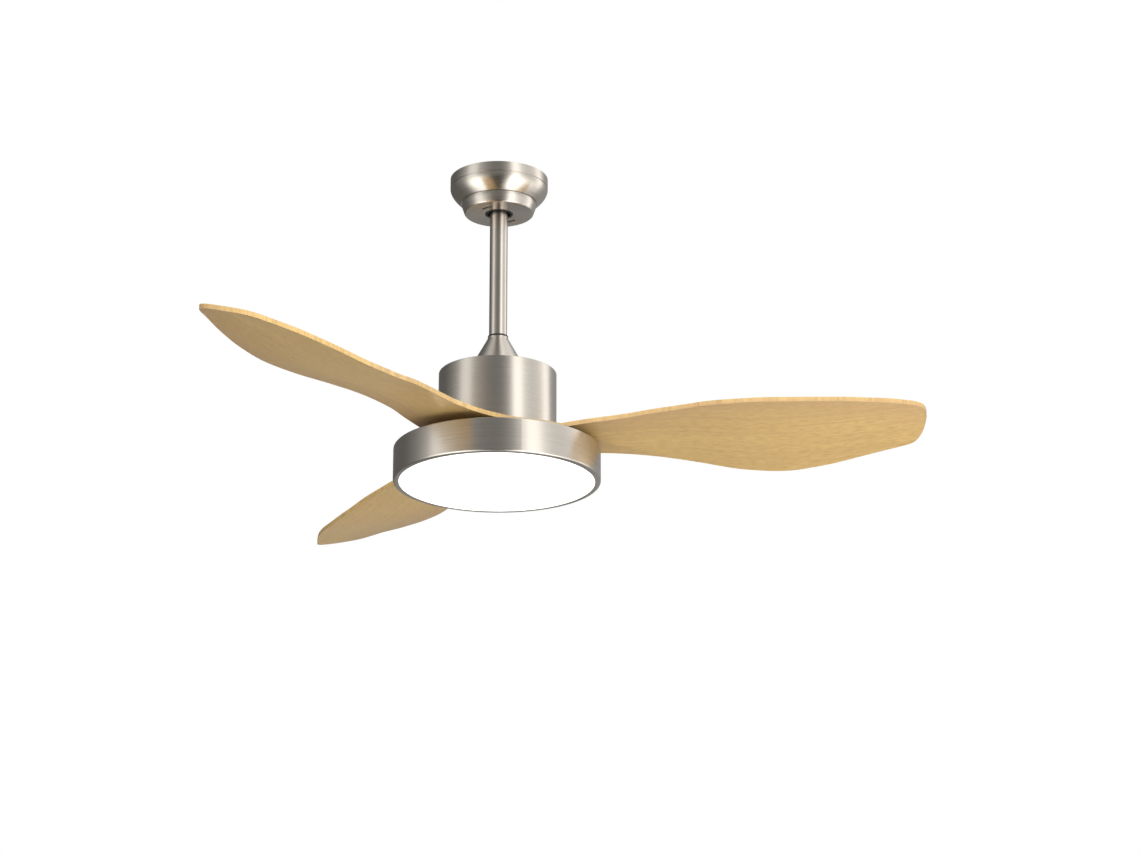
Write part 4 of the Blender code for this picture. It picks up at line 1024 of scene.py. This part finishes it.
def make_screws():
    for node in NODES:
        if "_screw_" in node:
            make_screw(node, up=not node.startswith(("cover", "rotor")))


def make_set_screw(node):
    """A headless screw along Y, with a hexagon socket in its outer end."""
    low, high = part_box(node)
    radius, length = (high.x - low.x) / 2, high.y - low.y
    corners = [(0.0, 0.0, 0.0), (0.6 * radius, 0.0, 0.0)]
    corners += [(r, -z, 0.0) for r, z, _ in thread(radius, -0.4 * MM, -length + 0.4 * MM)]
    corners += [(0.85 * radius, length, 0.0), (0.72 * radius, length, 0.0)]
    shape = turned(rounded(corners), 24)
    hexagon = [polar(0.56 * radius, 60.0 * i, length) for i in range(6)]
    sink(shape, hexagon, -1.6 * MM, 1.0)
    lie_down = Matrix.Rotation(math.radians(-90.0), 3, "X")
    bmesh.ops.rotate(shape, verts=shape.verts, matrix=lie_down)
    bmesh.ops.translate(shape, verts=shape.verts, vec=((low.x + high.x) / 2, low.y, (low.z + high.z) / 2))
    hand_over(shape, "socket_" + node, [node])


def make_hanger_pin():
    """A plain steel pin along X, with chamfered ends."""
    low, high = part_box("hanger_pin")
    radius, half = (high.z - low.z) / 2, (high.x - low.x) / 2
    edge = 0.5 * MM
    end = [(0.0, half, 0.0), (radius - edge, half, 0.0), (radius, half - edge, 0.0)]
    corners = end + [(r, -z, 0.0) for r, z, _ in end[::-1]]
    shape = turned(rounded(corners), SMALL_STEPS)
    bmesh.ops.rotate(shape, verts=shape.verts, matrix=Matrix.Rotation(math.radians(90.0), 3, "Y"))
    bmesh.ops.translate(shape, verts=shape.verts, vec=(low + high) / 2)
    hand_over(shape, "steel_hanger_pin", ["hanger_pin"])


# ---------------------------------------------------------------- ceiling side, inside the canopy

BALL_R = 26.0 * MM
BALL_BORE_R = 14.3 * MM


def make_hanger_ball():
    """The ball on the rod's top, with a cross hole for its pin."""
    low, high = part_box("hanger_ball")
    centre_z = (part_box("hanger_pin")[0].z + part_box("hanger_pin")[1].z) / 2
    sphere = arc(BALL_R, centre_z, high.z, low.z, 40)
    edge = 0.4 * MM
    first, last = sphere[0], sphere[-1]
    lower_bore = (BALL_BORE_R, low.z + 0.6 * MM, 0.0)
    side = [(BALL_BORE_R, centre_z + dz, 0.0) for dz in (-5.0 * MM, 0.0, 5.0 * MM)]
    corners = [(first[0] - edge, high.z, 0.0)] + sphere[1:-1] + [(last[0], last[1], 0.0), lower_bore] + side
    corners.append((BALL_BORE_R, high.z, 0.0))
    shape = turned(rounded(corners), 96)
    hole_r = 3.4 * MM

    def settle(circle, order):
        for corner in circle:
            radius = (BALL_R, BALL_BORE_R)[order]
            spare = radius**2 - corner.y**2 - ((corner.z - centre_z) ** 2 if order == 0 else 0.0)
            corner.x = math.copysign(math.sqrt(spare), corner.x)

    for side_x in (1.0, -1.0):
        depths = (-BALL_R, -BALL_BORE_R)
        drill(shape, (0.0, 0.0, centre_z), (-side_x, 0.0, 0.0), hole_r, depths, settle, 1.6 * MM)
    hand_over(shape, "moulded_hanger_ball", ["hanger_ball"])


def boxed(low, high, rounding, steps=3):
    """A box with rounded edges."""
    shape = bmesh.new()
    size = high - low
    matrix = Matrix.Translation((low + high) / 2) @ Matrix.Diagonal((*size, 1.0))
    bmesh.ops.create_cube(shape, size=1.0, matrix=matrix)
    soften(shape, shape.edges[:], rounding, steps)
    return shape


def seam(shape, z, width, depth):
    """A groove all round a box, where its lid meets its body."""
    for height in (z - width / 2, z + width / 2):
        slice_at(shape, (0.0, 0.0, height), (0.0, 0.0, 1.0), 0.001 * MM)
    band = [face for face in shape.faces if abs(face.calc_center_median().z - z) < width / 4]
    shape.normal_update()
    bmesh.ops.inset_region(shape, faces=band, thickness=0.05 * MM, depth=-depth, use_even_offset=True)


def make_electrics():
    """The receiver and the light's driver: cases with a seam near the top and near the bottom."""
    cases = (("receiver_box", "receiver_case", -5.0 * MM), ("led_driver", "driver_case", 4.0 * MM))
    for node, name, seam_at in cases:
        low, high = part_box(node)
        box = boxed(low, high, 1.5 * MM)
        seam(box, (low.z if seam_at > 0.0 else high.z) + seam_at, 0.6 * MM, 0.5 * MM)
        hand_over(box, name, [node])


def make_terminal_block():
    """Three pairs of wire ways, sunk as recesses into the block's front and back faces."""
    low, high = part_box("terminal_block")
    shape = boxed(low, high, 0.8 * MM)
    ways = 3
    pitch = (high.x - low.x) / ways
    for i in range(1, ways):
        x = low.x + pitch * i
        for wall_x in (x - 0.5 * MM, x + 0.5 * MM):
            slice_at(shape, (wall_x, 0.0, 0.0), (1.0, 0.0, 0.0), 0.001 * MM)
    shape.normal_update()
    middle_z = (low.z + high.z) / 2
    fronts = []
    for face in shape.faces:
        centre = face.calc_center_median()
        wide = face.calc_area() > 0.25 * pitch * (high.z - low.z)
        if abs(face.normal.y) > 0.99 and wide and abs(centre.z - middle_z) < 1.0 * MM:
            fronts.append(face)
    bmesh.ops.inset_individual(shape, faces=fronts, thickness=1.6 * MM, depth=0.0, use_even_offset=True)
    bmesh.ops.inset_individual(shape, faces=fronts, thickness=0.3 * MM, depth=-3.0 * MM, use_even_offset=True)
    hand_over(shape, "wire_terminals", ["terminal_block"])


# ---------------------------------------------------------------- motor and light, inside the covers


def make_motor():
    """The fixed shaft and core, and the shells that turn round them."""
    for node, name, width in (
        ("coupling_yoke", "cast_yoke", 0.5 * MM),
        ("yoke_pin", "steel_yoke_pin", 0.3 * MM),
        ("yoke_pin_clip", "steel_pin_clip", 0.1 * MM),
        ("stator_core", "laminated_core", 0.3 * MM),
        ("stator_winding", "wound_coils", 1.2 * MM),
        ("rotor_upper_shell", "cast_upper_shell", 0.5 * MM),
        ("rotor_lower_shell", "cast_lower_shell", 0.5 * MM),
        ("lamp_bracket", "round_lamp_plate", 0.4 * MM),
        ("motor_lead", "motor_cable", 0.2 * MM),
    ):
        dressed(node, name, width)
    make_shaft()
    make_bearings()
    make_magnets()
    dressed("shaft_nut", "hexagon_shaft_nut", 0.5 * MM)


def make_shaft():
    radius, top, low = reach("motor_shaft")
    thin, bore, edge = 8.5 * MM, 5.0 * MM, 0.5 * MM
    upper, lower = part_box("upper_bearing")[0].z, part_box("lower_bearing")[1].z
    corners = [
        (thin, top, edge),
        (thin, upper - 0.4 * MM, 0.2 * MM),
        (radius, upper - 0.4 * MM, edge),
        (radius, lower + 0.4 * MM, edge),
        (thin, lower + 0.4 * MM, 0.2 * MM),
    ]
    plate_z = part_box("lamp_bracket")[1].z
    corners += [(r, z, 0.0) for r, z, _ in thread(thin, plate_z, low + 0.6 * MM)]
    corners += [(thin - edge, low, 0.0), (bore, low, 0.2 * MM), (bore, top, 0.2 * MM)]
    turned_piece("turned_motor_shaft", "motor_shaft", corners, 96)


def make_bearings():
    """Two ball bearings: an outer race, a dished shield and an inner race."""
    for node in ("upper_bearing", "lower_bearing"):
        radius, top, low = reach(node)
        inner = 8.9 * MM
        outer_race, inner_race = 16.2 * MM, 11.4 * MM
        dish, edge = 0.7 * MM, 0.4 * MM
        corners = [(radius, top, edge), (radius, low, edge)]
        corners += [(outer_race, low, 0.1 * MM), (outer_race - 0.5 * MM, low + dish, 0.1 * MM)]
        corners += [(inner_race + 0.5 * MM, low + dish, 0.1 * MM), (inner_race, low, 0.1 * MM)]
        corners += [(inner, low, edge), (inner, top, edge)]
        corners += [(inner_race, top, 0.1 * MM), (inner_race + 0.5 * MM, top - dish, 0.1 * MM)]
        corners += [(outer_race - 0.5 * MM, top - dish, 0.1 * MM), (outer_race, top, 0.1 * MM)]
        turned_piece("ball_" + node, node, corners, 72)


def make_magnets():
    """A ring of separate magnets, each a straight block with rounded edges, set round the rotor's wall."""
    radius, top, low = reach("rotor_magnets")
    inner = 74.5 * MM
    half_width = 8.8 * MM
    count = 24
    shape = bmesh.new()
    for i in range(count):
        corners = (inner + 0.5 * MM, -half_width, low), (radius - 0.6 * MM, half_width, top)
        block = boxed(Vector(corners[0]), Vector(corners[1]), 0.4 * MM, 2)
        bmesh.ops.rotate(block, verts=block.verts, matrix=Matrix.Rotation(FULL_TURN * i / count, 3, "Z"))
        mesh = bpy.data.meshes.new("magnet")
        block.to_mesh(mesh)
        block.free()
        shape.from_mesh(mesh)
        bpy.data.meshes.remove(mesh)
    hand_over(shape, "magnet_ring", ["rotor_magnets"])


def make_light_insides():
    """The board with its rings of light-emitting chips, on three posts."""
    radius, top, low = reach("led_board")
    hole, edge = 6.0 * MM, 0.1 * MM
    corners = [(radius, top, edge), (radius, low, edge), (hole, low, edge), (hole, top, edge)]
    turned_piece("round_led_board", "led_board", corners, 96)
    chips = bmesh.new()
    chip_side, chip_h, chip_gap = 2.8 * MM, 0.7 * MM, 0.02 * MM
    for ring_r, count in ((30.0 * MM, 8), (60.0 * MM, 16), (90.0 * MM, 24), (120.0 * MM, 32)):
        for i in range(count):
            turn = Matrix.Rotation(FULL_TURN * i / count, 4, "Z")
            place = Matrix.Translation((ring_r, 0.0, low - chip_h / 2 - chip_gap))
            size = Matrix.Diagonal((chip_side, chip_side, chip_h, 1.0))
            bmesh.ops.create_cube(chips, size=1.0, matrix=turn @ place @ size)
    hand_over(chips, "led_chips", ["led_board"], "white_plastic")
    for number in range(1, 4):
        node = f"led_post_{number}"
        low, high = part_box(node)
        post_r = (high.x - low.x) / 2
        side = [(post_r, high.z, 0.3 * MM), (post_r, low.z, 0.5 * MM)]
        shape = turned(rounded([(0.0, high.z, 0.0)] + side + [(0.0, low.z, 0.0)]), SMALL_STEPS)
        bmesh.ops.translate(shape, verts=shape.verts, vec=(*screw_place(node), 0.0))
        hand_over(shape, "turned_" + node, [node])


# ---------------------------------------------------------------- assembly


def make_rest():
    """Gives every node that is still shown its finish."""
    for name, node in NODES.items():
        node.data.materials.clear()
        node.data.materials.append(FINISHES[SLOTS[name]])


CAMERA_PLACE = (0.0, -4.552, -1.937)
CAMERA_RISE_DEG = 18.52
CAMERA_TURN_DEG = -1.41
CAMERA_LENS_MM = 98.4
CAMERA_SENSOR_MM = 36.0
FLOOR_Z = -2.4
FLOOR_HALF = 40.0


def make_camera():
    data = bpy.data.cameras.new("camera")
    data.lens = CAMERA_LENS_MM
    data.sensor_width = CAMERA_SENSOR_MM
    camera = bpy.data.objects.new("camera", data)
    camera.location = CAMERA_PLACE
    camera.rotation_euler = (math.radians(90.0 + CAMERA_RISE_DEG), 0.0, math.radians(CAMERA_TURN_DEG))
    bpy.context.scene.collection.objects.link(camera)
    bpy.context.scene.camera = camera


def make_floor():
    """A plain pale floor that is clear from below and doesn't show in the metal."""
    shape = bmesh.new()
    bmesh.ops.create_grid(shape, x_segments=1, y_segments=1, size=FLOOR_HALF)
    mesh = bpy.data.meshes.new("studio_floor")
    shape.to_mesh(mesh)
    shape.free()
    floor = bpy.data.objects.new("studio_floor", mesh)
    floor.location.z = FLOOR_Z
    finish = Finish("studio_floor", (0.82, 0.82, 0.81), 0.0, 0.7)
    from_below = finish.add("NewGeometry", {}, "Backfacing")
    finish.set("Alpha", finish.maths("SUBTRACT", 1.0, from_below))
    mesh.materials.append(finish.material)
    bpy.context.scene.collection.objects.link(floor)
    floor.visible_glossy = False


def add_softbox(name, azimuth_deg, elevation_deg, distance, size, power):
    """A soft light that faces the fan, and doesn't show in the metal.

    Azimuth 0 is in front of the fan, and 90 is to its right.
    """
    light = bpy.data.lights.new(name, "AREA")
    light.shape = "RECTANGLE"
    light.size, light.size_y = size
    light.energy = power
    lamp = bpy.data.objects.new(name, light)
    azimuth, elevation = math.radians(azimuth_deg), math.radians(elevation_deg)
    flat = math.cos(elevation)
    away = Vector((math.sin(azimuth) * flat, -math.cos(azimuth) * flat, math.sin(elevation)))
    middle = (CAD_BOX[0] + CAD_BOX[1]) / 2
    lamp.location = middle + away * distance
    lamp.rotation_euler = away.to_track_quat("Z", "Y").to_euler()
    lamp.visible_camera = False
    lamp.visible_glossy = False
    bpy.context.scene.collection.objects.link(lamp)


# Brightness of the studio wall round the fan: degrees to the right of the front, and brightness.
STUDIO_WALL = (
    (-180, 0.40), (-160, 0.14), (-120, 0.16), (-100, 0.30), (-82, 0.58),
    (-74, 1.25), (-57, 1.25), (-49, 0.62), (-36, 0.42), (-18, 0.27),
    (4, 0.25), (16, 0.38), (26, 0.7), (33, 2.0), (46, 2.0),
    (54, 1.15), (68, 0.9), (84, 0.95), (96, 1.25), (104, 1.9),
    (114, 1.9), (122, 0.7), (136, 0.42), (160, 0.38), (180, 0.40),
)
# The same for what the metal reflects from lower down: bright panels either side of a dark gap in front.
# It fades in between these heights of the view's direction, where 0 is level and -1 is straight down.
STUDIO_LOW_START = -0.30
STUDIO_LOW_FULL = -0.62
STUDIO_LOW_WALL = (
    (-180, 0.20), (-130, 0.12), (-100, 0.30), (-84, 3.0), (-42, 3.0),
    (-28, 0.35), (-16, 0.06), (14, 0.06), (24, 0.6), (32, 3.2),
    (92, 3.2), (108, 0.8), (125, 0.25), (180, 0.20),
)


def make_studio():
    """White behind the fan, a graded wall all round it that lights it, and three soft lights.

    Only reflections see the low wall, and no reflection sees the three lights.
    """
    world = bpy.data.worlds.new("studio")
    world.use_nodes = True
    bpy.context.scene.world = world
    world.node_tree.nodes.clear()
    nodes = Nodes(world.node_tree)
    place = nodes.add("TexCoord", {}, "Generated")
    quarter = {"Vector": place, "Angle": math.radians(90.0)}
    turned_place = nodes.add("VectorRotate", quarter, rotation_type="Z_AXIS")
    around = nodes.add("TexGradient", {"Vector": turned_place}, "Fac", gradient_type="RADIAL")
    brightest = max(value for _, value in STUDIO_WALL + STUDIO_LOW_WALL)
    walls = []
    for table in (STUDIO_WALL, STUDIO_LOW_WALL):
        walls.append(nodes.add("ValToRGB", {"Fac": around}))
        stops = walls[-1].node.color_ramp.elements
        while len(stops) < len(table):
            stops.new(0.5)
        for stop, (degrees, value) in zip(stops, table):
            stop.position = (degrees + 180) / 360
            stop.color = (*[value / brightest] * 3, 1.0)
    height = nodes.add("SeparateXYZ", {"Vector": place}, "Z")
    heights = {"Value": height, 1: STUDIO_LOW_START, 2: STUDIO_LOW_FULL, 3: 0.0, 4: 1.0}
    lower = nodes.add("MapRange", heights)
    in_metal = nodes.add("LightPath", {}, "Is Glossy Ray")
    low_share = nodes.add("Math", {0: lower, 1: in_metal}, operation="MULTIPLY")
    blend = nodes.add("Mix", {0: low_share, 6: walls[0], 7: walls[1]}, 2, data_type="RGBA")
    wall = nodes.add("Background", {"Color": blend, "Strength": brightest})
    white = nodes.add("Background", {"Color": (1.0, 1.0, 1.0, 1.0)})
    in_camera = nodes.add("LightPath", {}, "Is Camera Ray")
    choice = nodes.add("MixShader", {"Fac": in_camera, 1: wall, 2: white})
    surface = nodes.tree.nodes.new("ShaderNodeOutputWorld").inputs["Surface"]
    nodes.feed(surface, choice)
    add_softbox("overhead_softbox", 150.0, 72.0, 3.0, (3.0, 3.0), 100.0)
    add_softbox("low_fill", 62.0, -42.0, 1.25, (1.1, 1.1), 7.0)
    add_softbox("front_softbox", -4.0, 12.0, 2.6, (2.6, 2.0), 75.0)
    bpy.context.scene.view_settings.view_transform = "Standard"


make_camera()
make_floor()
make_studio()
make_rest()
make_canopy()
make_canopy_cover()
make_downrod()
make_coupling_cover()
make_motor_cover()
make_lamp_pan()
make_diffuser()
make_blades()
make_screws()
make_set_screw("ball_set_screw")
make_set_screw("yoke_set_screw")
make_hanger_pin()
make_hanger_ball()
make_electrics()
make_terminal_block()
dressed("ceiling_bracket", "bent_ceiling_bracket", 0.5 * MM, steps=3)
make_motor()
make_light_insides()
